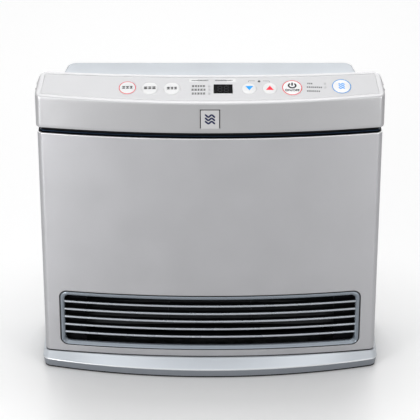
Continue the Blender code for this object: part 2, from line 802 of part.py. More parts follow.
def make_control_panel():
    """Control panel: a plate that follows the slope, with a hole for each control."""
    plate = panel_slice(0.0, -PANEL_PLATE, 0.0, "control_panel")
    for _, x, radius in BUTTONS:
        frame = panel_frame(x, BUTTON_LINE)
        ends = [frame @ Vector((0, 0, z)) for z in (-REACH, REACH)]
        cut(plate, rod(*ends, radius + GAP))
    for _, x, lines in LAMP_GUIDES:
        for line in lines:
            frame = panel_frame(x, line)
            ends = [frame @ Vector((0, 0, z)) for z in (-REACH, REACH)]
            cut(plate, rod(*ends, LAMP_RADIUS + GAP, SMALL_SIDES))
    half, deep = WINDOW_WIDTH / 2 + GAP, WINDOW_LENGTH / 2 + GAP
    cut(plate, in_frame(window_frame(), (-half, -deep, -REACH), (half, deep, REACH)))
    board = board_frame()
    for x in POST_PLACES:
        for side in (-POST_SPREAD, POST_SPREAD):
            foot = board @ Vector((x, side, BOARD_THICK / 2 + GAP))
            head = board @ Vector((x, side, 0))
            head.z = cover_surface(head.x, head.y) - PANEL_PLATE / 2
            head.y = foot.y - (head.z - foot.z) * math.tan(COVER_SLOPE)
            head.z = cover_surface(head.x, head.y) - PANEL_PLATE / 2
            join(plate, rod(foot, head, POST_RADIUS, SMALL_SIDES))
    keep(plate, "control_panel", SILVER_WHITE)


def window_frame():
    return panel_frame(WINDOW_X, BUTTON_LINE)


def board_frame():
    """The control board's frame: parallel to the slope at the middle, BOARD_DROP below it."""
    return panel_frame(0, BOARD_LINE) @ Matrix.Translation((0, 0, -BOARD_DROP))


def above_board(frame):
    """How far a frame on the panel stands off the top of the board, along the frame's own Z."""
    board = board_frame()
    normal = board.to_3x3() @ Vector((0, 0, 1))
    top = board @ Vector((0, 0, BOARD_THICK / 2))
    return (frame.translation - top).dot(normal) / (frame.to_3x3() @ Vector((0, 0, 1))).dot(normal)


def make_buttons():
    """Push buttons: a cap through the plate, a flange under it and a stem over its switch."""
    for name, x, radius in BUTTONS:
        frame = panel_frame(x, BUTTON_LINE)
        under = -PANEL_PLATE - GAP
        stem = SWITCH_HEIGHT + BUTTON_TRAVEL + GAP - above_board(frame)
        profile = (
            (0, BUTTON_PROUD),
            (radius - BUTTON_EDGE, BUTTON_PROUD),
            (radius, BUTTON_PROUD - BUTTON_EDGE),
            (radius, under),
            (radius + BUTTON_FLANGE, under),
            (radius + BUTTON_FLANGE, under - BUTTON_FLANGE_THICK),
            (STEM_RADIUS, under - BUTTON_FLANGE_THICK),
            (STEM_RADIUS, stem),
            (0, stem),
        )
        keep(turned(profile, frame), name, SILVER_WHITE)


def make_display():
    """Smoked window flush in the plate, and the two-digit display between it and the board."""
    frame = window_frame()
    half, deep = WINDOW_WIDTH / 2, WINDOW_LENGTH / 2
    under = -PANEL_PLATE - GAP
    pane = in_frame(frame, (-half, -deep, under - WINDOW_LIP / 2), (half, deep, GAP / 2))
    lip = in_frame(
        frame,
        (-half - WINDOW_LIP, -deep - WINDOW_LIP, under - WINDOW_LIP),
        (half + WINDOW_LIP, deep + WINDOW_LIP, under),
    )
    keep(join(pane, lip), "display_window", SMOKED)
    module = in_frame(
        frame,
        (DISPLAY_MARGIN - half, DISPLAY_MARGIN - deep, 2 * GAP - above_board(frame)),
        (half - DISPLAY_MARGIN, deep - DISPLAY_MARGIN, under - WINDOW_LIP - GAP),
    )
    keep(module, "display_module", BLACK)


def make_lamp_guides():
    """Clear light guides: a strip under the plate with a small post through each lamp hole."""
    for name, x, lines in LAMP_GUIDES:
        middle = (min(lines) + max(lines)) / 2
        frame = panel_frame(x, middle)
        half = LAMP_STRIP / 2
        reach = (max(lines) - min(lines)) / 2 / math.cos(COVER_SLOPE) + half
        under = -PANEL_PLATE - GAP
        strip = in_frame(frame, (-half, -reach, under - BUTTON_FLANGE_THICK), (half, reach, under))
        for line in lines:
            y = (middle - line) / math.cos(COVER_SLOPE)
            ends = [frame @ Vector((0, y, z)) for z in (under - BUTTON_FLANGE_THICK / 2, GAP / 2)]
            post = rod(*ends, LAMP_RADIUS, SMALL_SIDES)
            post.data.transform(frame.inverted())
            post.matrix_world = frame
            join(strip, post)
        keep(strip, name, CLEAR)


def make_control_board():
    """Circuit board under the panel with a push switch below each button."""
    frame = board_frame()
    half = (BOARD_LENGTH / 2, BOARD_WIDTH / 2, BOARD_THICK / 2)
    low = (BOARD_MIDDLE - half[0], -half[1], -half[2])
    high = (BOARD_MIDDLE + half[0], half[1], half[2])
    board = in_frame(frame, low, high)
    for _, x, _ in BUTTONS:
        button = panel_frame(x, BUTTON_LINE)
        foot = frame.inverted() @ (button @ Vector((0, 0, -above_board(button))))
        reach = SWITCH_SIZE / 2
        join(
            board,
            in_frame(
                frame,
                (foot.x - reach, foot.y - reach, 0),
                (foot.x + reach, foot.y + reach, half[2] + SWITCH_HEIGHT),
            ),
        )
    keep(board, "control_board", BOARD_GREEN)


def filter_windows(front, back, low_z=FILTER_BOTTOM):
    """Boxes for the openings of the filter's grid, from front to back."""
    inner = FILTER_WIDTH - 2 * FILTER_FRAME
    tall = FILTER_HEIGHT - 2 * FILTER_FRAME
    wide = (inner - (FILTER_COLUMNS - 1) * FILTER_BAR) / FILTER_COLUMNS
    high = (tall - (FILTER_ROWS - 1) * FILTER_BAR) / FILTER_ROWS
    boxes = []
    for column in range(FILTER_COLUMNS):
        for row in range(FILTER_ROWS):
            x = -inner / 2 + column * (wide + FILTER_BAR)
            z = low_z + FILTER_FRAME + row * (high + FILTER_BAR)
            boxes.append(box((x, front, z), (x + wide, back, z + high)))
    return boxes


def case_plan(front, inset=0.0):
    """The rear case's outline: open, straight sides and rounded rear corners."""
    half, back, corner = BODY_HALF - inset, BODY_BACK - inset, CASE_CORNER - inset
    rear = arc((half - corner, back - corner), corner, math.pi / 2, math.pi, CORNER_STEPS)
    return both_sides([(half, front)] + rear)


def make_rear_case():
    """Rear case: back, sides and shoulders, with holes for the grille, the grips and the outlets."""
    front = RETURN_BACK + GAP
    turn = CASE_TOP_ROUND * (1 - math.sqrt(0.5))
    case = loft(
        [
            at(case_plan(front), PANEL_BOTTOM),
            at(case_plan(front), SHOULDER - CASE_TOP_ROUND),
            at(case_plan(front, turn), SHOULDER - turn),
            at(case_plan(front, CASE_TOP_ROUND), SHOULDER),
        ]
    )
    cut(case, slab([case_plan(front - REACH, CASE_WALL)], PANEL_BOTTOM - REACH, SHOULDER - CASE_WALL))
    cut(case, cover_shape(-GAP, -GAP, COVER_BOTTOM - GAP, "cover_clearance"))
    vent = DECK_BACK_HALF - DECK_CORNER
    back = DECK_BACK - DECK_CORNER
    cut(case, box((-vent, front - REACH, SHOULDER - REACH / 2), (vent, back, SHOULDER + REACH)))
    edge = CASE_WALL + 2 * GAP
    low, high = pocket_ends(edge)
    cut(case, box((low[0], BODY_BACK - REACH, low[1]), (high[0], BODY_BACK + REACH, high[1])))
    for side in (-1, 1):
        low, high = grip_ends(edge)
        xs = sorted((side * (BODY_HALF - REACH / 2), side * (BODY_HALF + REACH)))
        cut(case, box((xs[0], *low), (xs[1], *high)))
    wall = (BODY_BACK - REACH / 2, BODY_BACK + REACH / 2)
    for x, radius in ((INLET_X, INLET_RADIUS), (-INLET_X, GLAND_RADIUS)):
        cut(case, rod((x, wall[0], INLET_Z), (x, wall[1], INLET_Z), radius + GAP))
    keep(case, "rear_case", SILVER_BLUE)


def pocket_ends(grow=0.0):
    """The low and high (x, z) corners of the filter's pocket, grown on every side."""
    half = FILTER_WIDTH / 2 + GAP + grow
    low, high = FILTER_BOTTOM - GAP - grow, FILTER_BOTTOM + FILTER_HEIGHT + GAP + grow
    return (-half, low), (half, high)


def grip_ends(grow=0.0):
    """The low and high (y, z) corners of a hand grip's hollow, grown on every side."""
    front, middle = RETURN_BACK + GRIP_FROM_SEAM, PANEL_TOP - GRIP_FROM_TOP
    low = (front - grow, middle - GRIP_HEIGHT / 2 - grow)
    return low, (front + GRIP_WIDTH + grow, middle + GRIP_HEIGHT / 2 + grow)


def make_intake_grille():
    """Intake grille: the filter's pocket, set in the case's back from inside by a flange."""
    floor = FILTER_FRONT - GAP
    inside = BODY_BACK - CASE_WALL - GAP

    def part(grow, front, back):
        low, high = pocket_ends(grow)
        return box((low[0], front, low[1]), (high[0], back, high[1]))

    grille = part(CASE_WALL + GAP, floor - CASE_WALL, BODY_BACK)
    join(grille, part(CASE_WALL + INSERT_FLANGE, inside - PLATE, inside))
    cut(grille, part(0.0, floor, BODY_BACK + REACH))
    cut(grille, *filter_windows(floor - REACH, floor + REACH / 2))
    keep(grille, "intake_grille", SILVER_BLUE)


def make_grips():
    """Hand grips: a cup in each side of the case, held from inside by a flange."""
    inside = BODY_HALF - CASE_WALL - GAP
    inner = BODY_HALF - GRIP_DEPTH

    def part(side, grow, near, far):
        low, high = grip_ends(grow)
        xs = sorted((side * near, side * far))
        return box((xs[0], *low), (xs[1], *high))

    for name, side in (("grip_left", -1), ("grip_right", 1)):
        cup = part(side, CASE_WALL + GAP, inner - CASE_WALL, BODY_HALF)
        join(cup, part(side, CASE_WALL + INSERT_FLANGE, inside - PLATE, inside))
        cut(cup, part(side, 0.0, inner, BODY_HALF + REACH))
        keep(cup, name, SILVER_BLUE)


def make_deck():
    """Raised deck behind the cover, narrower than the case, with rounded rear corners."""
    foot = SHOULDER + GAP
    front = cover_back(0) - DECK_OVERLAP

    def ring(z, lean, inset=0.0):
        back = DECK_BACK + lean - inset
        far = DECK_BACK_HALF + lean / 2 - inset
        near = DECK_HALF + lean / 2 - inset
        middle = (far - DECK_CORNER, back - DECK_CORNER)
        corner = arc(middle, DECK_CORNER, math.pi / 2, math.pi, CORNER_STEPS)
        return at(both_sides([(near, front)] + corner), z)

    rise = DECK_TOP - foot
    deck = loft(
        [
            ring(foot, DECK_LEAN),
            ring(foot + rise * 0.85, DECK_LEAN * 0.15),
            ring(foot + rise * 0.97, DECK_LEAN * 0.03),
            ring(DECK_TOP, 0.0, EDGE_ROUND),
        ]
    )
    hollow = loft(
        [
            ring(foot - REACH, DECK_LEAN, DECK_FOOT),
            ring(foot, DECK_LEAN, DECK_FOOT),
            ring(DECK_TOP - CASE_WALL, DECK_LEAN * 0.06, DECK_FOOT),
        ]
    )
    cut(deck, hollow, cover_shape(-GAP, -GAP, COVER_BOTTOM, "deck_clearance"))
    keep(deck, "rear_deck", SILVER_BLUE)


def make_filter():
    """Air filter: a grid frame with its mesh, pulled out backwards by a tab."""
    half, back, top = FILTER_WIDTH / 2, FILTER_BACK, FILTER_BOTTOM + FILTER_HEIGHT
    frame = box((-half, FILTER_FRONT, FILTER_BOTTOM), (half, back, top))
    cut(frame, *filter_windows(FILTER_FRONT + FILTER_MESH, back + REACH))
    middle = FILTER_BOTTOM + FILTER_FRAME / 2
    tab = box(
        (-FILTER_TAB / 2, back - FILTER_MESH, middle - FILTER_BAR / 2),
        (FILTER_TAB / 2, back + FILTER_BAR, middle + FILTER_BAR / 2),
    )
    keep(join(frame, tab), "air_filter", DARK_GREY)


def make_plates():
    """Steel floor, top tray and the two bulkheads that carry the fan and the burner."""
    floor = slab([body_plan(CASE_WALL + GAP)], PANEL_BOTTOM, FLOOR_TOP)
    keep(floor, "base_plate", ZINC)
    tray = slab([body_plan(CASE_WALL + GAP)], TRAY_TOP - PLATE, TRAY_TOP)
    keep(tray, "top_tray", ZINC)
    low = (BULKHEAD_FRONT, FLOOR_TOP + GAP)
    high = (BODY_BACK - CASE_WALL - GAP, BULKHEAD_TOP)
    left = box((-BULKHEAD_OUT, *low), (-BULKHEAD_X, *high))
    right = box((BULKHEAD_X, *low), (BULKHEAD_OUT, *high))
    x = (BULKHEAD_X - REACH, BULKHEAD_OUT + REACH)
    cut(left, rod((-x[1], FAN_Y, FAN_Z), (-x[0], FAN_Y, FAN_Z), BEARING_RADIUS + GAP))
    cut(right, rod((x[0], FAN_Y, FAN_Z), (x[1], FAN_Y, FAN_Z), BEARING_RADIUS))
    supply = [(place, BURNER_Y, MANIFOLD_Z) for place in x]
    cut(right, rod(*supply, MANIFOLD_RADIUS + GAP, SMALL_SIDES))
    above_louvre = LOUVRE_TOP + 2 * LOUVRE_LIP
    for plate, side in ((left, -1), (right, 1)):
        notch = sorted((side * x[0], side * x[1]))
        cut(plate, box((notch[0], BODY_FRONT, 0), (notch[1], DUCT_FRONT, above_louvre)))
        ends = [(side * place, BURNER_Y, ROD_Z) for place in x]
        cut(plate, rod(*ends, CERAMIC_RADIUS + GAP, SMALL_SIDES))
    keep(left, "left_bulkhead", ZINC)
    keep(right, "right_bulkhead", ZINC)


def spanning(points, name, finish):
    """A bent sheet between the bulkheads."""
    obj = slab([sheet(points, PLATE)], -INNER_SPAN / 2, INNER_SPAN / 2, "YZ")
    return keep(obj, name, finish)


def make_fan_housing():
    """Scroll behind and below the fan, and the tongue above its outlet."""
    angles = np.linspace(SCROLL_START, SCROLL_END, 12)
    share = (angles - SCROLL_START) / (SCROLL_END - SCROLL_START)
    reach = FAN_RADIUS + SCROLL_GAP + PLATE / 2 + SCROLL_GROWTH * share
    scroll = [(FAN_Y + r * math.cos(a), FAN_Z - r * math.sin(a)) for a, r in zip(angles, reach)]
    floor = LOUVRE_BOTTOM + LOUVRE_BOTTOM_RIM - PLATE
    spanning(scroll + [(DUCT_FRONT, floor - PLATE)], "fan_scroll", BLACK_STEEL)
    roof = LOUVRE_TOP - LOUVRE_SIDE_RIM + PLATE
    gap = FAN_RADIUS + TONGUE_GAP
    tip = (FAN_Y + gap * math.cos(TONGUE_ANGLE), FAN_Z + gap * math.sin(TONGUE_ANGLE))
    rise = CHAMBER_BOTTOM - PLATE - GAP
    tongue = [(DUCT_FRONT, roof + PLATE), (tip[0] - PLATE, tip[1]), (tip[0], tip[1] + 2 * PLATE)]
    spanning(tongue + [(CHAMBER_FRONT, rise)], "duct_roof", BLACK_STEEL)


def fan_axle():
    """The empty on the fan's axis, its Z axis along +X."""
    axle = bpy.data.objects.new("fan_axle", None)
    HEATER.objects.link(axle)
    axle.matrix_world = Matrix.Translation((0, FAN_Y, FAN_Z)) @ Matrix.Rotation(math.pi / 2, 4, "Y")
    bpy.context.view_layer.update()
    return axle


def ride_axle(obj, axle):
    obj.data.transform(axle.matrix_world.inverted())
    obj.parent = axle
    for modifier in obj.modifiers:
        other = modifier.object
        if other.parent is None:
            other.data.transform(axle.matrix_world.inverted())
            other.parent = axle


def make_fan():
    """Cross-flow fan: blades between discs on a shaft, a bearing at the left and a motor at the right."""

    def on_axis(x, end, radius, sides=SMALL_SIDES):
        return rod((x, FAN_Y, FAN_Z), (end, FAN_Y, FAN_Z), radius, sides)

    axle = fan_axle()
    half = FAN_LENGTH / 2
    rotor = on_axis(-half, half, SHAFT_RADIUS + 2 * FAN_DISC_THICK)
    for x in np.linspace(-half, half - FAN_DISC_THICK, FAN_DISCS):
        join(rotor, on_axis(x, x + FAN_DISC_THICK, FAN_RADIUS - GAP, ROUND_SIDES))
    for i in range(FAN_BLADES):
        turn = 2 * math.pi * i / FAN_BLADES
        blade = box(
            (-half + GAP, FAN_RADIUS - FAN_BLADE_DEPTH, -FAN_BLADE_THICK / 2),
            (half - GAP, FAN_RADIUS, FAN_BLADE_THICK / 2),
        )
        pitch = Matrix.Translation((0, FAN_RADIUS, 0)) @ Matrix.Rotation(math.radians(28), 4, "X")
        pitch = pitch @ Matrix.Translation((0, -FAN_RADIUS, 0))
        place = Matrix.Translation((0, FAN_Y, FAN_Z)) @ Matrix.Rotation(turn, 4, "X") @ pitch
        blade.data.transform(place)
        join(rotor, blade)
    cut(rotor, on_axis(-half - REACH, half + REACH, SHAFT_RADIUS + GAP))
    ride_axle(keep(rotor, "fan_rotor", DARK_GREY), axle)
    left, right = -BULKHEAD_OUT - BEARING_LENGTH / 4, BULKHEAD_OUT + MOTOR_BORE
    shaft = on_axis(left, right, SHAFT_RADIUS)
    ride_axle(keep(shaft, "fan_shaft", STEEL), axle)
    make_bearing()
    start = BULKHEAD_OUT + GAP
    motor = on_axis(start, start + MOTOR_LENGTH, MOTOR_RADIUS, ROUND_SIDES)
    socket = on_axis(start - REACH, start + MOTOR_BORE, SHAFT_RADIUS + GAP)
    keep(cut(motor, socket), "fan_motor", ZINC)


def make_bearing():
    """Flanged bush in the left bulkhead."""
    inner = -BULKHEAD_X + GAP
    place = Matrix.Translation((inner, FAN_Y, FAN_Z)) @ Matrix.Rotation(math.pi / 2, 4, "Y")
    profile = (
        (SHAFT_RADIUS + GAP, BEARING_FLANGE),
        (BEARING_RADIUS + BEARING_FLANGE, BEARING_FLANGE),
        (BEARING_RADIUS + BEARING_FLANGE, 0),
        (BEARING_RADIUS, 0),
        (BEARING_RADIUS, BEARING_FLANGE - BEARING_LENGTH),
        (SHAFT_RADIUS + GAP, BEARING_FLANGE - BEARING_LENGTH),
        (SHAFT_RADIUS + GAP, BEARING_FLANGE),
    )
    keep(turned(profile, place, SMALL_SIDES), "fan_bearing", BRASS)


def make_burner():
    """Combustion chamber, and the burner on its tray with flame ports along the top."""
    walls = [
        (CHAMBER_FRONT, CHAMBER_BOTTOM),
        (CHAMBER_FRONT, CHAMBER_TOP),
        (CHAMBER_BACK, CHAMBER_TOP),
        (CHAMBER_BACK, CHAMBER_BOTTOM),
    ]
    inside = [
        (CHAMBER_BACK - PLATE, CHAMBER_BOTTOM),
        (CHAMBER_BACK - PLATE, CHAMBER_TOP - PLATE),
        (CHAMBER_FRONT + PLATE, CHAMBER_TOP - PLATE),
        (CHAMBER_FRONT + PLATE, CHAMBER_BOTTOM),
    ]
    chamber = slab([walls + inside], -INNER_SPAN / 2, INNER_SPAN / 2, "YZ")
    long, wide = CHAMBER_SLOT
    slot = box(
        (-long / 2, BURNER_Y - wide / 2, CHAMBER_TOP - REACH),
        (long / 2, BURNER_Y + wide / 2, CHAMBER_TOP + REACH),
    )
    keep(cut(chamber, slot), "burner_box", STEEL)

    half, top = TRAY_WIDTH / 2, TRAY_BOTTOM + TRAY_HEIGHT
    low = TRAY_BOTTOM + PLATE
    channel = [
        (BURNER_Y - half, top),
        (BURNER_Y - half, TRAY_BOTTOM),
        (BURNER_Y + half, TRAY_BOTTOM),
        (BURNER_Y + half, top),
        (BURNER_Y + half - PLATE, top),
        (BURNER_Y + half - PLATE, low),
        (BURNER_Y - half + PLATE, low),
        (BURNER_Y - half + PLATE, top),
    ]
    tray = slab([channel], -INNER_SPAN / 2, INNER_SPAN / 2, "YZ")
    keep(tray, "burner_tray", ZINC)

    crown = BURNER_SEAT + BURNER_HEIGHT
    burner = box(
        (-BURNER_HALF, BURNER_Y - BURNER_WIDTH / 2, BURNER_SEAT),
        (BURNER_HALF, BURNER_Y + BURNER_WIDTH / 2, crown),
    )
    for x in np.linspace(-BURNER_HALF, BURNER_HALF, BURNER_PORTS + 2)[1:-1]:
        port = box(
            (x - PORT_WIDTH / 2, BURNER_Y - BURNER_WIDTH / 3, crown - PORT_DEPTH),
            (x + PORT_WIDTH / 2, BURNER_Y + BURNER_WIDTH / 3, crown + REACH),
        )
        cut(burner, port)
    keep(burner, "burner_head", STEEL)


def make_gas_train():
    """Manifold with its nozzles, valve and coils, the pipe, and the plug that the gas hose fits."""

    def supply(start, end, radius):
        return rod((start, BURNER_Y, MANIFOLD_Z), (end, BURNER_Y, MANIFOLD_Z), radius, SMALL_SIDES)

    end = BULKHEAD_OUT + GAP + VALVE_ENTRY
    manifold = supply(-BURNER_HALF, end, MANIFOLD_RADIUS)
    tip = TRAY_BOTTOM - GAP
    for x in np.linspace(-BURNER_HALF, BURNER_HALF, NOZZLES + 2)[1:-1]:
        nozzle = rod((x, BURNER_Y, MANIFOLD_Z), (x, BURNER_Y, tip), NOZZLE_RADIUS, SMALL_SIDES)
        join(manifold, nozzle)
    keep(manifold, "gas_manifold", BRASS)

    wide, deep, tall = VALVE_SIZE
    low = (VALVE_X - wide / 2, BURNER_Y - deep / 2, MANIFOLD_Z - tall / 2)
    high = (VALVE_X + wide / 2, BURNER_Y + deep / 2, MANIFOLD_Z + tall / 2)
    valve = cut(box(low, high), supply(0, end + GAP, MANIFOLD_RADIUS + GAP))
    keep(valve, "gas_valve", ALUMINIUM)
    for name, offset in (("solenoid_main", -SOLENOID_SPREAD), ("solenoid_safety", SOLENOID_SPREAD)):
        foot = Vector((VALVE_X, BURNER_Y + offset, high[2] + GAP))
        coil = rod(foot, foot + Vector((0, 0, SOLENOID_HEIGHT)), SOLENOID_RADIUS, SMALL_SIDES)
        keep(coil, name, DARK_GREY)

    start = (VALVE_X, high[1] + GAP, MANIFOLD_Z)
    foot = INLET_Z + INLET_RADIUS + GAP
    run = [start]
    centre = (PIPE_DROP_Y - PIPE_BEND, MANIFOLD_Z - PIPE_BEND)
    for angle in np.linspace(0, math.pi / 2, CORNER_STEPS + 1):
        y, z = centre[0] + PIPE_BEND * math.sin(angle), centre[1] + PIPE_BEND * math.cos(angle)
        run.append((VALVE_X, y, z))
    run.append((VALVE_X, PIPE_DROP_Y, foot))
    make_pipe(run)
    make_inlet()


def make_pipe(run):
    curve = bpy.data.curves.new("gas_pipe", "CURVE")
    curve.dimensions = "3D"
    curve.bevel_depth = PIPE_RADIUS
    curve.bevel_resolution = 2
    curve.use_fill_caps = True
    spline = curve.splines.new("POLY")
    spline.points.add(len(run) - 1)
    for point, place in zip(spline.points, run):
        point.co = (*place, 1)
    pipe = bpy.data.objects.new("gas_pipe", curve)
    CUTTERS.objects.link(pipe)
    keep(pipe, "gas_pipe", BRASS)


def make_inlet():
    """Gas plug: a body inside the back wall, a collar outside it and a ridged nipple."""
    inner = PIPE_DROP_Y - INLET_RADIUS
    place = Matrix.Translation((VALVE_X, 0, INLET_Z)) @ Matrix.Rotation(-math.pi / 2, 4, "X")
    collar = BODY_BACK + GAP
    step = collar + INLET_COLLAR_THICK
    end = step + NIPPLE_LENGTH
    profile = (
        (0, end),
        (NIPPLE_RADIUS, end),
        (NIPPLE_RADIUS + NIPPLE_RIDGE, end - NIPPLE_LEAD),
        (NIPPLE_RADIUS, end - NIPPLE_LEAD - NIPPLE_RIDGE / 2),
        (NIPPLE_RADIUS, step),
        (INLET_COLLAR, step),
        (INLET_COLLAR, collar),
        (INLET_RADIUS, collar),
        (INLET_RADIUS, inner),
        (0, inner),
    )
    keep(turned(profile, place), "gas_inlet_plug", BRASS)


def make_probes():
    """Ignition electrode at the left and flame sensor at the right, each through its bulkhead."""
    outer = BULKHEAD_OUT + BEARING_FLANGE + GAP
    for name, side in (("ignition_electrode", -1), ("flame_sensor", 1)):
        turn = Matrix.Rotation(side * math.pi / 2, 4, "Y")
        place = Matrix.Translation((side * outer, BURNER_Y, ROD_Z)) @ turn
        profile = (
            (0, BEARING_FLANGE),
            (CERAMIC_RADIUS + 2 * ROD_RADIUS, BEARING_FLANGE),
            (CERAMIC_RADIUS + 2 * ROD_RADIUS, -BEARING_FLANGE),
            (CERAMIC_RADIUS, -BEARING_FLANGE),
            (CERAMIC_RADIUS, -CERAMIC_LENGTH),
            (ROD_RADIUS, -CERAMIC_LENGTH),
            (ROD_RADIUS, -CERAMIC_LENGTH - ROD_LENGTH),
            (0, -CERAMIC_LENGTH - ROD_LENGTH),
        )
        keep(turned(profile, place, SMALL_SIDES), name, CERAMIC)


def make_shield():
    """Heat shield between the chamber and the front panel."""
    half, low = INNER_SPAN / 2, LOUVRE_TOP + SHIELD_ABOVE_LOUVRE
    shield = box((-half, SHIELD_Y - PLATE, low), (half, SHIELD_Y, BULKHEAD_TOP))
    keep(shield, "heat_shield", ZINC)


def make_electrics():
    """Power board, transformer, igniter, thermostat, thermistor, ion unit and tip-over switch."""
    face = -BULKHEAD_OUT - GAP
    board_face = face - STANDOFF
    wide, tall = POWER_BOARD
    high = (POWER_BOARD_Y + wide / 2, ROD_Z - POWER_BOARD_DROP)
    low = (POWER_BOARD_Y - wide / 2, high[1] - tall)
    board = box((board_face - BOARD_THICK, *low), (board_face, *high))
    for y in (low[0] + STANDOFF, high[0] - STANDOFF):
        for z in (low[1] + STANDOFF, high[1] - STANDOFF):
            join(board, rod((board_face - BOARD_THICK / 2, y, z), (face, y, z), POST_RADIUS, SMALL_SIDES))
    keep(board, "power_board", BOARD_GREEN)

    seat, middle = board_face - BOARD_THICK - GAP, (low[1] + high[1]) / 2
    deep, wide, tall = TRANSFORMER
    low = (seat - deep, POWER_BOARD_Y - wide / 2, middle - tall / 2)
    keep(box(low, (seat, POWER_BOARD_Y + wide / 2, middle + tall / 2)), "transformer", DARK_GREY)
    deep, wide, tall = IGNITER
    low = (face - deep, BURNER_Y - wide / 2, ROD_Z + IGNITER_RISE)
    keep(box(low, (face, BURNER_Y + wide / 2, low[2] + tall)), "igniter_module", BLACK)
    place = (face, BURNER_Y, ROD_Z + THERMOSTAT_RISE)
    disc = rod((face - THERMOSTAT_THICK, *place[1:]), place, THERMOSTAT_RADIUS)
    keep(disc, "overheat_thermostat", STEEL)

    wide, deep, tall = THERMISTOR
    back = BODY_BACK - CASE_WALL - GAP
    low = (THERMISTOR_X, back - deep, FILTER_BOTTOM - 2 * tall)
    keep(box(low, (low[0] + wide, back, low[2] + tall)), "room_thermistor", BLACK)
    wide, deep, tall = ION_UNIT
    low = (-wide / 2, BODY_FRONT + PANEL_FLANGE + RECESS_WALL, TRAY_TOP + GAP)
    keep(box(low, (wide / 2, low[1] + deep, low[2] + tall)), "ion_unit", BLACK)
    wide, deep, tall = TIP_SWITCH
    low = (-INLET_X - wide / 2, POWER_BOARD_Y - deep / 2, FLOOR_TOP + GAP)
    keep(box(low, (low[0] + wide, low[1] + deep, low[2] + tall)), "tip_over_switch", BLACK)


def make_gland():
    """Bush where the power cord passes the back wall."""
    outer = BODY_BACK + GAP + GLAND_FLANGE_THICK
    inner = BODY_BACK - CASE_WALL - GAP - GLAND_FLANGE_THICK
    place = Matrix.Translation((-INLET_X, 0, INLET_Z)) @ Matrix.Rotation(-math.pi / 2, 4, "X")
    profile = (
        (GLAND_BORE, outer),
        (GLAND_FLANGE, outer),
        (GLAND_FLANGE, outer - GLAND_FLANGE_THICK),
        (GLAND_RADIUS, outer - GLAND_FLANGE_THICK),
        (GLAND_RADIUS, inner + GLAND_FLANGE_THICK),
        (GLAND_FLANGE, inner + GLAND_FLANGE_THICK),
        (GLAND_FLANGE, inner),
        (GLAND_BORE, inner),
        (GLAND_BORE, outer),
    )
    keep(turned(profile, place, SMALL_SIDES), "cord_gland", RUBBER)


clear_scene()
HEATER = new_collection("gas_heater")
CUTTERS = new_collection("cutters", cutters=True)

SILVER = material("silver_paint", (0.52, 0.52, 0.54), 0.38, 0.35)
SILVER_WHITE = material("silver_white_plastic", (0.78, 0.79, 0.80), 0.36)
SILVER_BLUE = material("silver_blue_plastic", (0.60, 0.64, 0.69), 0.40)
BLUE_GREY = material("blue_grey_plastic", (0.26, 0.30, 0.35), 0.38)
NAVY = material("navy_gloss_plastic", (0.010, 0.018, 0.030), 0.12)
BLACK = material("black_plastic", (0.02, 0.02, 0.02), 0.45)
SMOKED = material("smoked_window", (0.01, 0.01, 0.012), 0.08)
CLEAR = material("clear_plastic", (0.80, 0.82, 0.84), 0.15)
RUBBER = material("black_rubber", (0.03, 0.03, 0.03), 0.80)
DARK_GREY = material("dark_grey_plastic", (0.09, 0.09, 0.10), 0.55)
ZINC = material("zinc_plated_steel", (0.62, 0.63, 0.64), 0.42, 1.0)
BLACK_STEEL = material("black_painted_steel", (0.012, 0.012, 0.013), 0.60)
STEEL = material("stainless_steel", (0.56, 0.55, 0.53), 0.32, 1.0)
BRASS = material("brass", (0.72, 0.52, 0.22), 0.30, 1.0)
ALUMINIUM = material("cast_aluminium", (0.70, 0.71, 0.72), 0.48, 1.0)
CERAMIC = material("white_ceramic", (0.85, 0.84, 0.80), 0.30)
BOARD_GREEN = material("green_circuit_board", (0.03, 0.20, 0.09), 0.50)

make_plinth()
make_feet()
make_front_panel()
make_louvre()
make_recess_trim()
make_cover()
make_badge()
make_control_panel()
make_buttons()
make_display()
make_lamp_guides()
make_control_board()
make_rear_case()
make_intake_grille()
make_grips()
make_deck()
make_filter()
make_plates()
make_fan_housing()
make_fan()
make_burner()
make_gas_train()
make_probes()
make_shield()
make_electrics()
make_gland()
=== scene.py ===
"""The looks of a gas fan heater: fine surfaces over its solids, finishes, a studio and a camera.
Metres, +Z up, front towards -Y. Surfaces are grids of points worked out as whole arrays."""

import json
import math

import bmesh
import bpy
import numpy as np
from mathutils import Matrix, Vector


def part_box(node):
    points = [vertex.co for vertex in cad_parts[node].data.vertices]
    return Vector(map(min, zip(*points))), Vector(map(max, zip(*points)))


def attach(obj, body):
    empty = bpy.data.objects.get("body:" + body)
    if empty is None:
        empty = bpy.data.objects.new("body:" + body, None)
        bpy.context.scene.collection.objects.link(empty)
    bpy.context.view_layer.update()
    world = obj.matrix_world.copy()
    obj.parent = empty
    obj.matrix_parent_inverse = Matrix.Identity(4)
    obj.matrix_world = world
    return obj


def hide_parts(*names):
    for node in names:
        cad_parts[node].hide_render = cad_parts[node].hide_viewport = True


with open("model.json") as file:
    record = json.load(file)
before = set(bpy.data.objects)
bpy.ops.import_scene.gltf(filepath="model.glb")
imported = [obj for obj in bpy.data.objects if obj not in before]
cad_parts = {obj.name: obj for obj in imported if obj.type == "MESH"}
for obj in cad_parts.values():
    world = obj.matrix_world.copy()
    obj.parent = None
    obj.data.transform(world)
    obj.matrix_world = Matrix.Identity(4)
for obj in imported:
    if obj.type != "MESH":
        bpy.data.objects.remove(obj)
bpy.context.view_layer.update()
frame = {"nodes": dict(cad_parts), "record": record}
CABINET = "cabinet"
MM = 0.001
SIDES = ((-1, "left"), (1, "right"))

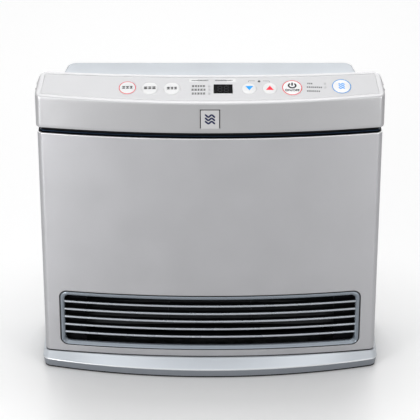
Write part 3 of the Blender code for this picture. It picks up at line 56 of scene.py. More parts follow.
# Places read from the solids
PANEL_LOW, PANEL_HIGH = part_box("front_panel")
BODY_HALF, BODY_FRONT, RETURN_BACK = PANEL_HIGH.x, PANEL_LOW.y, PANEL_HIGH.y
CASE_LOW, CASE_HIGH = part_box("rear_case")
BODY_BACK, SHOULDER = CASE_HIGH.y, CASE_HIGH.z
PLINTH_LOW, PLINTH_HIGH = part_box("base_plinth")
TRIM_LOW, TRIM_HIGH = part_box("recess_trim")
DECK_LOW, DECK_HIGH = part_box("rear_deck")
COVER_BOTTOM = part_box("top_cover")[0].z
BADGE_LOW, BADGE_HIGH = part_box("badge_plate")
GRILLE_LOW, GRILLE_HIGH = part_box("intake_grille")
FILTER_LOW, FILTER_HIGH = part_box("air_filter")

# Body and rear case
GAP = 0.0003
BODY_BOW = 0.0201
PANEL_CORNER = 0.009
PANEL_RAISE = 0.0005
PANEL_TOP_ROUND = 0.0010
PANEL_FLANGE = (0.0045, 0.006, 0.008)
PANEL_SHEET = 0.0009
PANEL_HEM = 0.0010
PANEL_SEAM = 0.0013
HOLE_EDGE = 0.0011
LIP_ROUND = 0.0007
CASE_CORNER = 0.014
CASE_WALL = 0.002
CASE_TOP_ROUND = 0.006
INSERT_EDGE = 0.003 - GAP
CUT_PAST, CUT_IN = 0.02, 0.01

# Plinth and recess
PLINTH_BOW = 0.0328
PLINTH_CORNER = 0.014
PLINTH_SIDE_HEIGHT = 0.0118
PLINTH_WALL = 0.003
EDGE_ROUND = 0.0012
RIDGE_ROUND = 0.0011
SKIRT_LEAN = 0.0022
SKIRT_TOP_WIDTH, SKIRT_TOP_THICK = 0.006, 0.0016
RECESS_INSET = 0.004
BAND_LOW, BAND_HIGH, BAND_DEPTH = 0.0004, 0.0034, 0.0012

# Louvre
LOUVRE_WIDTH = 0.420
LOUVRE_RISE = 0.0123
LOUVRE_HEIGHT = 0.0859
LOUVRE_CORNER = 0.010
LOUVRE_SIDE_RIM = 0.0063
LIP_RISE = 0.0050
LIP_BLEND_TOP, LIP_BLEND_RISE = 0.011, 0.009
LOUVRE_DEPTH = 0.0165
LOUVRE_PROUD = 0.0008
RIM_EASE = 0.0002
LOUVRE_BARS = 5
BAR_THICKNESS = 0.0031
BAR_FOOT = 0.0195
BAR_PITCH = 0.01233
BAR_DEPTH = 0.0100
BAR_SETBACK = 0.0012
BLADE_TIP = 0.0006
BLANK_DEPTH = 0.0118
BLANK_THICK = 0.0012
BLANK_LAP = 0.002
DUCT_HALF = 0.1745

# Top cover and control panel
COVER_OVERHANG = 0.0025
COVER_HEIGHT = 0.0652
COVER_PROUD = 0.0015
COVER_DEPTH = 0.0483
COVER_BACK_BOW = 0.01325
COVER_SLOPE = math.radians(21.95)
COVER_TAPER = 0.006
COVER_FRONT_CORNER = 0.008
COVER_BACK_CORNER = 0.012
COVER_END_ROUND = 0.004
COVER_WALL = 0.003
COVER_HEM = 0.0012
COVER_FOOT_ROUND = 0.0008
RIM = 0.003
PLATE_THICK = 0.002
PLATE_FRONT_RIM = 0.005
PLATE_BACK_RIM = 0.0055
PLATE_END_RIM = 0.009
PLATE_LEDGE = 0.0022
PLATE_EASE = 0.0004
BADGE_POCKET = 0.0012
STEP = 1e-5

# Controls: body, place across from the middle, and radius
BUTTON_LINE = 0.0248
BUTTONS = {
    "button_save": ("save_button", -0.1104, 0.0115),
    "button_night": ("night_button", -0.0804, 0.0110),
    "button_morning": ("morning_button", -0.0509, 0.0110),
    "button_down": ("down_button", 0.0525, 0.0095),
    "button_up": ("up_button", 0.0799, 0.0095),
    "button_power": ("power_button", 0.1098, 0.0135),
    "button_air": ("air_button", 0.1761, 0.0129),
}
BUTTON_PROUD = 0.0012
BUTTON_SIDE = 0.0003
BUTTON_FLANGE = 0.0015
BUTTON_FLANGE_THICK = 0.0012
DOME_POWER = 2.6
RING_WIDTH = 0.0022
STEM_RADIUS = 0.003
STEM_LENGTH = 0.0062
WINDOW_X = 0.0175
WINDOW_WIDTH = 0.025
WINDOW_LENGTH = 0.0160
LAMP_RADIUS = 0.0012
LAMPS = ((-0.0008, (0.0202, 0.0262, 0.0327)), (0.1540, (0.0189, 0.0254)))
PRINT_THICK = 0.00005
STRIP_LINE = 0.0105

# Deck
DECK_INSET = 0.030
DECK_BACK_INSET = 0.0395
DECK_FROM_BACK = 0.0247
DECK_CORNER = 0.012
DECK_LEAN = 0.014
DECK_TOP_ROUND = 0.0022
DECK_WALL = 0.0035

# How finely shapes are drawn
BENDS = 8
ROUND_SIDES = 72
PANEL_ACROSS, PANEL_UP = 60, 30
PANEL_FAN = 0.030
QUARTER = math.pi / 2

# Studio and camera
FLOOR_LIFT = 0.46
FLOOR_SHADE_REACH, FLOOR_SHADE_POWER = 0.22, 1.6
AMBIENT = 0.06
STUDIO_LAMPS = (
    ("top", (0.0, -0.2, 2.6), (0, 0, 0.4), (2.4, 1.8), 22),
    ("rim", (0.0, -1.9, 1.9), (0, 0, 0.3), (2.4, 1.0), 1.5),
    ("back", (0.0, 1.6, 1.9), (0, 0, 0.4), (2.4, 1.2), 20),
    ("left", (-1.25, -1.5, 0.40), (0, 0, 0.20), (0.5, 0.75), 16.5),
    ("right", (1.25, -1.5, 0.40), (0, 0, 0.20), (0.5, 0.75), 7),
)
CAMERA_PLACE, CAMERA_TILT = (0, -2.7399, 1.6866), 0.49
FOCAL_PIXELS, PICTURE_WIDTH, SENSOR = 2226.95, 420, 36.0

# Places that follow from the sizes above
PANEL_BOTTOM, PANEL_TOP = PANEL_LOW.z, PANEL_HIGH.z + PANEL_RAISE
COVER_HALF = BODY_HALF + COVER_OVERHANG
COVER_TOP = COVER_BOTTOM + COVER_HEIGHT
PLATE_HALF = COVER_HALF - PLATE_END_RIM
LOUVRE_BOTTOM = PANEL_BOTTOM + LOUVRE_RISE
LOUVRE_TOP = LOUVRE_BOTTOM + LOUVRE_HEIGHT
SLOPE = math.tan(COVER_SLOPE)


# Finishes


def feed(tree, node, inputs):
    """Sets a node's inputs, or links them to other nodes' outputs."""
    for name, value in inputs.items():
        if isinstance(value, bpy.types.NodeSocket):
            tree.links.new(value, node.inputs[name])
        else:
            node.inputs[name].default_value = value


def add(tree, kind, inputs=None, **settings):
    """A new node with its settings and inputs."""
    made = tree.nodes.new("ShaderNode" + kind)
    for name, value in settings.items():
        setattr(made, name, value)
    feed(tree, made, inputs or {})
    return made


def maths(tree, operation, *values):
    """The result of one sum on values."""
    return add(tree, "Math", dict(enumerate(values)), operation=operation).outputs["Value"]


def finish(
    name, colour, roughness, metallic=0.0, mottle=0.03, patch=0.03,
    grain=0.02, grain_size=0.0004, shine=0.5,
):
    """A painted or moulded surface. Its colour and roughness drift over patches by a share mottle,
    and a fine grain tilts the surface; both are noise over Object coordinates."""
    made = bpy.data.materials.new(name)
    made.use_nodes = True
    tree = made.node_tree
    place = add(tree, "TexCoord").outputs["Object"]

    def noise(size, detail):
        inputs = {"Vector": place, "Scale": 1 / size, "Detail": detail}
        return add(tree, "TexNoise", inputs).outputs["Fac"]

    def spread(source, low, high):
        ranged = {"Value": source, "From Min": 0.3, "From Max": 0.7, "To Min": low, "To Max": high}
        return add(tree, "MapRange", ranged).outputs["Result"]

    drift, speckle = noise(patch, 3), noise(grain_size, 1)
    mixed = maths(tree, "MULTIPLY_ADD", spread(speckle, 0, 1), 0.5, spread(drift, 0, 0.5))
    dark, pale = [(*[min(c * share, 1) for c in colour], 1) for share in (1 - mottle, 1 + mottle)]
    tint = add(tree, "Mix", {"Factor": mixed, "A": dark, "B": pale}, data_type="RGBA")
    bump = add(tree, "Bump", {"Strength": grain, "Distance": 0.0002, "Height": speckle})
    look = {
        "Base Color": tint.outputs["Result"],
        "Roughness": spread(drift, roughness * 0.92, roughness * 1.08),
        "Normal": bump.outputs["Normal"],
        "Metallic": metallic,
        "Specular IOR Level": shine,
    }
    feed(tree, tree.nodes["Principled BSDF"], look)
    return made


def flat_finish(name, colour, roughness=0.4, shine=0.3, metallic=0.0):
    """A thin even coat, such as print."""
    even = {"mottle": 0.04, "grain": 0.01, "grain_size": 0.0008}
    return finish(name, colour, roughness, metallic, shine=shine, **even)


def metal_finish(name, colour, roughness, cell=None, streak=None):
    """Bare metal: cells of a zinc coating that differ a little, or streaks of rolling along X."""
    made = finish(name, colour, roughness, metallic=1.0, mottle=0.05, patch=0.012)
    tree = made.node_tree
    place = add(tree, "TexCoord").outputs["Object"]
    if cell:
        cells = add(tree, "TexVoronoi", {"Scale": 1 / cell, "Vector": place})
        feed(tree, tree.nodes["Mix"], {"Factor": cells.outputs["Color"]})
    if streak:
        stretch = add(tree, "Mapping", {"Scale": (0.03, 1, 1), "Vector": place}).outputs["Vector"]
        streaks = add(tree, "TexNoise", {"Scale": 1 / streak, "Vector": stretch})
        feed(tree, tree.nodes["Bump"], {"Height": streaks.outputs["Fac"], "Strength": 0.12})
    return made


def board_finish(name, colour):
    """Solder mask over tracks: lighter lines between cells on green laminate."""
    made = finish(name, colour, 0.42, mottle=0.05)
    tree = made.node_tree
    place = add(tree, "TexCoord").outputs["Object"]
    settings = {"distance": "MANHATTAN", "feature": "DISTANCE_TO_EDGE"}
    tracks = add(tree, "TexVoronoi", {"Scale": 220, "Vector": place}, **settings)
    near = {"Value": tracks.outputs["Distance"], "From Max": 0.12, "To Min": 1, "To Max": 0}
    line = add(tree, "MapRange", near).outputs["Result"]
    pale = (*[min(2.2 * c + 0.01, 1) for c in colour], 1)
    feed(tree, tree.nodes["Mix"], {"Factor": line, "B": pale})
    return made


SLOT_FINISHES = (
    finish("silver_paint", (0.42, 0.42, 0.435), 0.44, 0.75, 0.04, 0.05, 0.05, 0.0003),
    finish("silver_white_plastic", (0.43, 0.43, 0.44), 0.36, 0.72, 0.03, 0.05, 0.03, 0.0003),
    finish("silver_blue_plastic", (0.56, 0.595, 0.635), 0.34, 0.35),
    finish("blue_grey_plastic", (0.215, 0.245, 0.28), 0.25, 0.45, 0.05),
    finish("navy_gloss_plastic", (0.007, 0.017, 0.034), 0.24, 0.8, 0.02, grain=0.004),
    flat_finish("black_plastic", (0.006, 0.006, 0.007), 0.6, 0.08),
    finish("smoked_window", (0.003, 0.003, 0.004), 0.2, mottle=0.02, grain=0.002, shine=0.1),
    finish("clear_plastic", (0.80, 0.81, 0.83), 0.2, mottle=0.02, grain=0.002),
    finish("black_rubber", (0.018, 0.018, 0.018), 0.8, grain=0.08, shine=0.2),
    finish("dark_grey_plastic", (0.025, 0.026, 0.028), 0.6, grain=0.06, shine=0.15),
    metal_finish("zinc_plated_steel", (0.62, 0.63, 0.64), 0.42, cell=0.009),
    # Near black with little shine for the duct's parts and the louvre's blanks: painted shade for
    # the dark inside seen between the bars.
    finish("black_painted_steel", (0.004, 0.004, 0.005), 0.8, grain=0.05, shine=0.05),
    metal_finish("stainless_steel", (0.56, 0.55, 0.53), 0.32, streak=0.0006),
    metal_finish("brass", (0.72, 0.52, 0.22), 0.3, streak=0.0008),
    finish("cast_aluminium", (0.70, 0.71, 0.72), 0.48, 1.0, 0.05, grain=0.15, grain_size=0.0009),
    finish("white_ceramic", (0.85, 0.84, 0.80), 0.22),
    board_finish("green_circuit_board", (0.03, 0.20, 0.09)),
)
# The solids' own materials hold the slots' names, so Blender adds a number behind a dot to these
FINISHES = {made.name.split(".")[0]: made for made in SLOT_FINISHES}
# Darker copy of the plinth's silver-blue plastic for the band that faces the floor: painted shade.
SKIRT_PAINTED_SHADE = finish("skirt_painted_shade", (0.255, 0.275, 0.305), 0.40, 0.5)
# Lighter, glossier copy of the louvre's blue-grey plastic for the bars' rods: painted highlight.
ROD_PAINTED_HIGHLIGHT = finish("rod_painted_highlight", (0.40, 0.43, 0.47), 0.28, 0.6, grain=0.01)
PLATE_WHITE = finish("plate_white", (0.79, 0.79, 0.805), 0.42, 0.15, 0.015, 0.05, 0.015)
# Lighter copy of the cover's silver for its rim and border: painted highlight.
RIM_PAINTED_HIGHLIGHT = finish("rim_painted_highlight", (0.575, 0.575, 0.585), 0.40, 0.6, 0.02, 0.05)
# Much lighter copy of the panel's silver for its rolled top edge: painted highlight.
EDGE_PAINTED_HIGHLIGHT = finish("edge_painted_highlight", (0.88, 0.88, 0.89), 0.32, 0.55, 0.02, 0.05)
# Lighter copy of the plinth's silver-blue plastic for the ridge: painted highlight.
RIDGE_PAINTED_HIGHLIGHT = finish("ridge_painted_highlight", (0.60, 0.62, 0.64), 0.38, 0.55, 0.02, grain=0.01)
BADGE_SILVER = finish("badge_silver", (0.58, 0.58, 0.59), 0.36, 0.7)
CAP_BRIGHT = finish("cap_bright", (0.89, 0.89, 0.895), 0.34, 0.26, 0.012, 0.02, 0.01)
CAP_WHITE = finish("cap_white", (0.90, 0.90, 0.905), 0.36, 0.16, 0.012, 0.02, 0.01)
INK_BLACK = flat_finish("ink_black", (0.012, 0.012, 0.014))
INK_GREY = flat_finish("ink_grey", (0.045, 0.047, 0.053))
INK_RED = flat_finish("ink_red", (0.97, 0.05, 0.08), shine=0.15, metallic=0.4)
INK_PINK = flat_finish("ink_pink", (0.97, 0.05, 0.08), shine=0.15, metallic=0.1)
INK_BLUE = flat_finish("ink_blue", (0.03, 0.38, 0.95), shine=0.15, metallic=0.35)
INK_SKY = flat_finish("ink_sky", (0.01, 0.34, 0.88), shine=0.15, metallic=0.1)
INK_NAVY = flat_finish("ink_navy", (0.010, 0.018, 0.075))
INK_DIGIT = flat_finish("ink_digit", (0.030, 0.032, 0.036), 0.4, 0.1)


# Meshes


def surface(points, round_rows=False, round_columns=False, ends=False, skip=None):
    """Corners and quads of a grid of points, which may close round either way. Ends closes the
    first and last rows with a face each, and skip is true for each cell that is left open."""
    points = np.asarray(points, float)
    rows, columns = points.shape[:2]
    number = np.arange(rows * columns).reshape(rows, columns)
    if round_rows:
        number = np.vstack([number, number[:1]])
    if round_columns:
        number = np.hstack([number, number[:, :1]])
    quads = np.stack([number[:-1, :-1], number[1:, :-1], number[1:, 1:], number[:-1, 1:]], axis=-1)
    faces = (quads.reshape(-1, 4) if skip is None else quads[~skip]).tolist()
    if ends:
        faces += [number[0, :columns][::-1].tolist(), number[-1, :columns].tolist()]
    return points.reshape(-1, 3), faces


def loft(rings):
    """A closed solid through rings of equal counts, with a face over each end."""
    return surface(rings, round_columns=True, ends=True)


def hoop(rows):
    """A closed section carried round a closed line."""
    return surface(rows, round_rows=True, round_columns=True)


def gathered(*parts):
    """Several lots of corners and faces as one."""
    corners, faces, start = [], [], 0
    for points, quads in parts:
        corners.append(points)
        faces += [[start + corner for corner in face] for face in quads]
        start += len(points)
    return np.concatenate(corners), faces


def block(low, high):
    """A box between two corners."""
    (x0, y0, z0), (x1, y1, z1) = low, high
    return loft([[(x0, y0, z), (x1, y0, z), (x1, y1, z), (x0, y1, z)] for z in (z0, z1)])


def rework(mesh, change):
    """Puts a mesh through a change made on its bmesh."""
    bm = bmesh.new()
    bm.from_mesh(mesh)
    change(bm)
    bm.to_mesh(mesh)
    bm.free()
    return mesh


def shaded(mesh, smooth=35.0):
    """Smooth, but for the edges that turn by more than an angle in degrees."""
    mesh.shade_smooth()
    mesh.set_sharp_from_angle(angle=math.radians(smooth))
    return mesh


def weld(bm):
    """Merges corners that lie on one another."""
    bmesh.ops.remove_doubles(bm, verts=bm.verts, dist=1e-6)


def mesh_of(name, shape, smooth=35.0):
    """A mesh of a shape: seams merged, faces turned outwards, smooth but for sharp edges."""
    corners, faces = shape
    mesh = bpy.data.meshes.new(name)
    mesh.from_pydata(corners.tolist(), [], faces)

    def clean(bm):
        weld(bm)
        bmesh.ops.recalc_face_normals(bm, faces=bm.faces)

    return shaded(rework(mesh, clean), smooth)


def merged(node):
    """A copy of a solid's mesh with its corners merged and its flat faces made whole."""

    def clean(bm):
        weld(bm)
        bmesh.ops.dissolve_limit(bm, angle_limit=math.radians(1), verts=bm.verts, edges=bm.edges)

    return shaded(rework(frame["nodes"][node].data.copy(), clean))


def linked(name, data):
    """A new object in the scene."""
    obj = bpy.data.objects.new(name, data)
    bpy.context.scene.collection.objects.link(obj)
    return obj


def evaluated_mesh(obj):
    """The mesh that an object has after its modifiers, or that its text makes."""
    graph = bpy.context.evaluated_depsgraph_get()
    return bpy.data.meshes.new_from_object(obj.evaluated_get(graph))


def piece(name, shape, look, body=CABINET, nodes=(), smooth=35.0):
    """One finished piece: a shape and its look, on the body it rides, for nodes it replaces."""
    mesh = shape if isinstance(shape, bpy.types.Mesh) else mesh_of(name, shape, smooth)
    obj = linked(name, mesh)
    mesh.materials.clear()
    mesh.materials.append(FINISHES.get(look, look))
    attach(obj, body)
    if nodes:
        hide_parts(*nodes)
    return obj


def thicken(obj, wall):
    """Gives a skin its wall, inwards from the shape that was drawn, with crisp open edges."""

    def crisp(bm):
        for edge in bm.edges:
            if edge.is_boundary:
                edge.smooth = False

    rework(obj.data, crisp)
    solid = obj.modifiers.new("wall", "SOLIDIFY")
    solid.thickness = wall
    solid.offset = -1


def cut(name, shape, *tools):
    """The mesh of a shape less some others."""
    target = linked("target", mesh_of("target", shape))
    knives = [linked("tool", mesh_of("tool", tool)) for tool in tools]
    for knife in knives:
        change = target.modifiers.new("cut", "BOOLEAN")
        change.object, change.solver, change.operation = knife, "EXACT", "DIFFERENCE"
    result = evaluated_mesh(target)
    for obj in [target, *knives]:
        bpy.data.objects.remove(obj)
    result.name = name
    return shaded(result)


def soften(obj, width, segments=2, angle=35.0):
    """Rounds the sharp edges a little, so that they catch the light."""
    bevel = obj.modifiers.new("edges", "BEVEL")
    bevel.width, bevel.segments, bevel.limit_method = width, segments, "ANGLE"
    bevel.angle_limit = math.radians(angle)


def grid(*axes):
    """Points from their coordinates, each an array or one number for all of them."""
    return np.stack(np.broadcast_arrays(*axes), axis=-1)


def quarter(radius, steps):
    """A quarter round as pairs, r - r cos a one way and r - r sin a the other."""
    turn = np.linspace(0, QUARTER, steps)
    return [(radius * (1 - math.cos(a)), radius * (1 - math.sin(a))) for a in turn]


def curved(start, corner, end, steps):
    """A bend from start to end towards corner: (1 - t)^2 start + 2 t (1 - t) corner + t^2 end."""
    shares = np.linspace(0, 1, steps + 1)
    return [(1 - t) ** 2 * start + 2 * t * (1 - t) * corner + t * t * end for t in shares]


def eased(profile, radius, steps=4):
    """A line of 2-D points with its inner corners rounded, each by a bend between two points that
    lie up to radius from the corner."""
    line = np.asarray(profile, float)
    smooth = [line[:1]]
    for before, corner, after in zip(line, line[1:], line[2:]):
        legs = [before - corner, after - corner]
        reach = [min(radius, np.linalg.norm(leg) / 2) for leg in legs]
        start, end = [corner + leg / np.linalg.norm(leg) * r for leg, r in zip(legs, reach)]
        smooth.append(curved(start, corner, end, steps))
    return np.concatenate([*smooth, line[-1:]])


def moved(points, place):
    """Points put in a frame."""
    matrix = np.array(place)
    return np.asarray(points, float) @ matrix[:3, :3].T + matrix[:3, 3]


def turned(profile, place, sides=ROUND_SIDES):
    """A line of (radius, height) points spun about place's Z axis: x = r cos a, y = r sin a."""
    turn = np.linspace(0, 2 * math.pi, sides, endpoint=False)
    radius, height = np.asarray(profile, float).T[:, :, None]
    spun = grid(radius * np.cos(turn), radius * np.sin(turn), height)
    corners, faces = surface(spun, round_columns=True)
    return moved(corners, place), faces


def drill(radius, place, sides=ROUND_SIDES):
    """A short cylinder to cut a hole with."""
    return turned([(0, -0.01), (radius, -0.01), (radius, 0.01), (0, 0.01)], place, sides)


# Lines that the shapes share


def bow_radius(half, bow):
    """The radius of an arc that falls back by bow at half: (half^2 + bow^2) / (2 bow)."""
    return (half * half + bow * bow) / (2 * bow)


def bow_back(x, half=BODY_HALF, bow=BODY_BOW):
    """How far a bowed front has fallen back at x: R - sqrt(R^2 - x^2)."""
    radius = bow_radius(half, bow)
    return radius - np.sqrt(radius * radius - np.square(x))


def corner_of(half, bow, near):
    """Where a bowed front of radius R meets its corner of radius r. The corner's centre lies
    half - r across, and sqrt((R - r)^2 - across^2) before the bow's centre. Gives R, these two and
    their angle."""
    radius, side = bow_radius(half, bow), half - near
    depth = math.sqrt((radius - near) ** 2 - side**2)
    return radius, side, depth, math.atan2(side, depth)


def plan(half, front, bow, back, near, far, inset=0.0):
    """A plan outline from the middle of the front round to the right and back to the left: a bowed
    front, corners of radius near, straight sides, and corners of radius far with a straight back.
    Drawn in by inset along its normals."""
    radius, side, depth, lean = corner_of(half, bow, near)
    centre, near_y, end = front + radius, front + radius - depth, back - far
    across, turn = np.linspace(0, lean, 41), np.linspace(lean, QUARTER, 13)[1:]
    along, rear = np.linspace(near_y, end, 13)[1:], np.linspace(QUARTER, math.pi, 13)[1:]
    behind = np.linspace(half - far, 0, 21)[1:]
    runs = [
        (radius * np.sin(across), centre - radius * np.cos(across), across),
        (side + near * np.sin(turn), near_y - near * np.cos(turn), turn),
        (half, along, QUARTER),
        (half - far + far * np.sin(rear), end - far * np.cos(rear), rear),
        (behind, back, math.pi),
    ]
    x, y, angle = np.concatenate([grid(*run) for run in runs]).T
    right = grid(x - inset * np.sin(angle), y + inset * np.cos(angle))
    return np.concatenate([right, right[-2:0:-1] * (-1, 1)])


def body_plan(inset=0.0):
    """The body's outline, front panel and rear case together."""
    return plan(BODY_HALF, BODY_FRONT, BODY_BOW, BODY_BACK, PANEL_CORNER, CASE_CORNER, inset)


def mirrored(right):
    """A line on the right side, and its mirror image back to the start."""
    return np.concatenate([right, right[::-1] * (-1, 1)])


def at(outline, height):
    """A plan outline at a height."""
    return grid(*outline.T, height)


def rail(line, low, high, near, far):
    """A bar of square section that follows a plan line, between two heights and two insets."""
    steps = (near, low), (near, high), (far, high), (far, low)
    return hoop([at(line(inset), z) for inset, z in steps])


def side_stations(low, high, straight):
    """Places along a side, with BENDS closer ones near each end."""
    near = np.linspace(0, PANEL_FAN, BENDS + 1)[:-1]
    middle = np.linspace(low + PANEL_FAN, high - PANEL_FAN, straight + 1)
    return np.concatenate([low + near, middle, (high - near)[::-1]])


def rounded_loop(width, low, height, radius):
    """Points (x, z) round a rounded rectangle, anticlockwise from its lower left. Each side runs
    from the middle of one corner's arc to the next, r - r sin a along and r - r cos a in."""
    angle = np.linspace(math.pi / 4, 0, BENDS + 1)[:-1]
    along, inward = radius * (1 - np.sin(angle)), radius * (1 - np.cos(angle))

    def side(length, steps):
        straight = np.linspace(radius, length - radius, steps + 1)
        return (
            np.concatenate([along, straight, (length - along)[::-1][:-1]]),
            np.concatenate([inward, 0 * straight, inward[::-1][:-1]]),
        )

    (t, d), (s, e) = side(width, PANEL_ACROSS), side(height, PANEL_UP)
    left, right, top = -width / 2, width / 2, low + height
    x = np.concatenate([left + t, right - e, right - t, left + e])
    z = np.concatenate([low + d, low + s, top - d, top - s])
    return grid(x, z)


def square_loop(xs, zs):
    """The same walk round a plain rectangle, through given stations."""
    x = np.concatenate([xs[:-1], 0 * zs[:-1] + xs[-1], xs[::-1][:-1], 0 * zs[:-1] + xs[0]])
    z = np.concatenate([0 * xs[:-1] + zs[0], zs[:-1], 0 * xs[:-1] + zs[-1], zs[::-1][:-1]])
    return grid(x, z)


def louvre_loop(grow):
    """The louvre's outline, larger by grow all round."""
    width, height = LOUVRE_WIDTH + 2 * grow, LOUVRE_HEIGHT + 2 * grow
    return rounded_loop(width, LOUVRE_BOTTOM - grow, height, LOUVRE_CORNER + grow)


def on_bow(loop, depth):
    """(x, z) points put on the bowed front, depth behind it."""
    x, z = loop.T
    return grid(x, BODY_FRONT + bow_back(x) + depth, z)


# Front panel


def open_line(xs):
    """The front panel's line in plan through given stations, its corners side + r sin a across and
    near - r cos a back, its straight sides, and the outward normals."""
    radius, side, depth, lean = corner_of(BODY_HALF, BODY_BOW, PANEL_CORNER)
    near_y = BODY_FRONT + radius - depth
    turn = np.linspace(lean, QUARTER, 15)[1:]
    along = np.linspace(near_y, RETURN_BACK, 9)[1:]
    facing = grid(np.sin(turn), -np.cos(turn))
    right = np.concatenate([(side, near_y) + PANEL_CORNER * facing, grid(BODY_HALF, along)])
    right_normal = np.concatenate([facing, grid(1.0, 0 * along)])
    middle = grid(xs, BODY_FRONT + bow_back(xs))
    middle_normal = grid(xs / radius, -np.sqrt(1 - (xs / radius) ** 2))
    mirror = np.array((-1, 1))
    line = np.concatenate([right[::-1] * mirror, middle, right])
    normal = np.concatenate([right_normal[::-1] * mirror, middle_normal, right_normal])
    return line, normal


def panel_skin():
    """The bowed front, y = front + R - sqrt(R^2 - x^2), as loops that blend from the louvre's hole
    to the panel's edge, with the sides and the hem as plan lines carried up. The rolled top, inset
    r - r cos a and height r sin a, comes apart from the rest, to carry the painted highlight."""
    radius, _, _, lean = corner_of(BODY_HALF, BODY_BOW, PANEL_CORNER)
    reach = radius * math.sin(lean)
    foot = PANEL_BOTTOM + PANEL_SEAM
    xs = side_stations(-reach, reach, PANEL_ACROSS)
    zs = side_stations(foot + PANEL_HEM, PANEL_TOP - PANEL_TOP_ROUND, PANEL_UP)
    edge, outer = louvre_loop(HOLE_EDGE + LIP_ROUND), square_loop(xs, zs)
    lip = quarter(LIP_ROUND, 6)
    rows = [on_bow(louvre_loop(HOLE_EDGE + grow), depth) for grow, depth in lip]
    for share in np.linspace(0, 1, 25)[1:] ** 1.5:
        rows.append(on_bow((1 - share) * edge + share * outer, 0.0))
    parts = [surface(rows, round_columns=True)]

    line, normal = open_line(xs)

    def carried(steps, kept=slice(None)):
        return surface([at(line[kept] - inset * normal[kept], z) for inset, z in steps])

    for side, _ in SIDES:
        parts.append(carried([(0.0, z) for z in zs], side * line[:, 0] >= reach - 1e-9))
    parts.append(carried([(inset, foot + rise) for inset, rise in quarter(PANEL_HEM, 7)]))
    top = [(inset, PANEL_TOP - drop) for inset, drop in quarter(PANEL_TOP_ROUND, 7)]
    return gathered(*parts), carried(top + [(inset, PANEL_TOP) for inset in PANEL_FLANGE])


def make_front_panel():
    """The painted sheet, and its rolled top edge as a piece in a much lighter finish, which is a
    painted highlight.
    """
    skin, edge = panel_skin()
    thicken(piece("front_panel_skin", skin, "silver_paint", nodes=["front_panel"]), PANEL_SHEET)
    thicken(piece("front_panel_edge", edge, EDGE_PAINTED_HIGHLIGHT, nodes=["front_panel"]), PANEL_SHEET)


# Louvre


def louvre_rim():
    """The louvre's rim: a section that blends from the outer loop to the inner one and back,
    carried round. Near the floor it turns, by the step t^2 (3 - 2 t), into a lip that slopes in."""
    outer = louvre_loop(-RIM_EASE)
    inner = rounded_loop(
        LOUVRE_WIDTH - 2 * LOUVRE_SIDE_RIM,
        LOUVRE_BOTTOM + LIP_RISE,
        LOUVRE_HEIGHT - LOUVRE_SIDE_RIM - LIP_RISE,
        LOUVRE_CORNER - LOUVRE_SIDE_RIM / 2,
    )
    low = np.clip((LOUVRE_BOTTOM + LIP_BLEND_TOP - outer[:, 1]) / LIP_BLEND_RISE, 0, 1)[:, None]
    low = low * low * (3 - 2 * low)
    plain = [(0, 1), (0, 0.12), (0.06, 0.04), (0.22, 0), (0.5, 0)]
    plain += [(0.75, 0.05), (0.95, 0.14), (1, 0.22), (1, 1)]
    lip = [(0, 0.42), (0, 0.10), (0.08, 0.03), (0.16, 0), (0.34, 0.07)]
    lip += [(0.58, 0.19), (0.80, 0.28), (0.96, 0.36), (1, 0.42)]
    rows = []
    for (share, back), (lip_share, lip_back) in zip(eased(plain, 0.08, 3), eased(lip, 0.08, 3)):
        blend = share + (lip_share - share) * low
        depth = (back + (lip_back - back) * low[:, 0]) * LOUVRE_DEPTH - LOUVRE_PROUD
        rows.append(on_bow(outer * (1 - blend) + inner * blend, depth))
    return hoop(rows)


def louvre_bars(section):
    """A closed section of (depth, height) points carried along the bowed front at each bar."""
    section = np.asarray(section, float)
    half = LOUVRE_WIDTH / 2 - LOUVRE_SIDE_RIM * 0.8
    x = np.linspace(-half, half, 61)[:, None]
    y = BODY_FRONT + bow_back(x) + section[:, 0]
    bars = []
    for z in LOUVRE_BOTTOM + BAR_FOOT + BAR_PITCH * np.arange(LOUVRE_BARS):
        bars.append(loft(grid(x, y, z + section[:, 1])))
    return gathered(*bars)


def make_louvre():
    """Rim, a black ring in the groove round it that is painted shade, black blanks that close the
    duct's ends as painted shade for the dark inside, and the bars: each a round rod in a lighter
    finish that is a painted highlight, an ellipse in section, on a thin black blade."""
    grille = {"nodes": ["louvre_grille"]}
    piece("louvre_rim", louvre_rim(), "blue_grey_plastic", smooth=50, **grille)
    turn = np.linspace(0, 2 * math.pi, 21)[:-1]
    rod = BAR_THICKNESS / 2
    section = grid(BAR_SETBACK + rod * (1 - np.cos(turn)), rod * np.sin(turn))
    piece("louvre_rods", louvre_bars(section), ROD_PAINTED_HIGHLIGHT, smooth=60, **grille)
    near, far, thin = BAR_SETBACK + rod, BAR_SETBACK + BAR_DEPTH, BAR_THICKNESS * 0.28
    tip = far - BLADE_TIP
    blade = [(near, -thin), (near, thin), (tip, thin), (far, 0), (tip, -thin)]
    piece("louvre_blades", louvre_bars(blade), "black_plastic", **grille)
    # The black ring in the groove round the rim is painted shade.
    inside, outside = -0.0008, HOLE_EDGE + 0.0002
    steps = ((inside, 0.0005), (outside, 0.0006), (outside, 0.0030), (inside, 0.0030))
    seal = hoop([on_bow(louvre_loop(grow), depth) for grow, depth in steps])
    piece("louvre_shade_ring", seal, "black_rubber", **grille)
    # The black blanks at the duct's ends are painted shade, so that the inside reads dark.
    low, high = LOUVRE_BOTTOM + LIP_RISE - BLANK_LAP, LOUVRE_TOP - LOUVRE_SIDE_RIM + BLANK_LAP
    for side, name in SIDES:
        x = np.linspace(side * DUCT_HALF, side * (LOUVRE_WIDTH / 2 - LOUVRE_SIDE_RIM * 0.6), 5)
        near = BODY_FRONT + bow_back(x) + BLANK_DEPTH
        far = near + BLANK_THICK
        ring = (near, low), (near, high), (far, high), (far, low)
        shape = loft(np.stack([grid(x, y, z) for y, z in ring], axis=1))
        piece(f"louvre_shade_blank_{name}", shape, "black_painted_steel", **grille)


# Plinth and recess


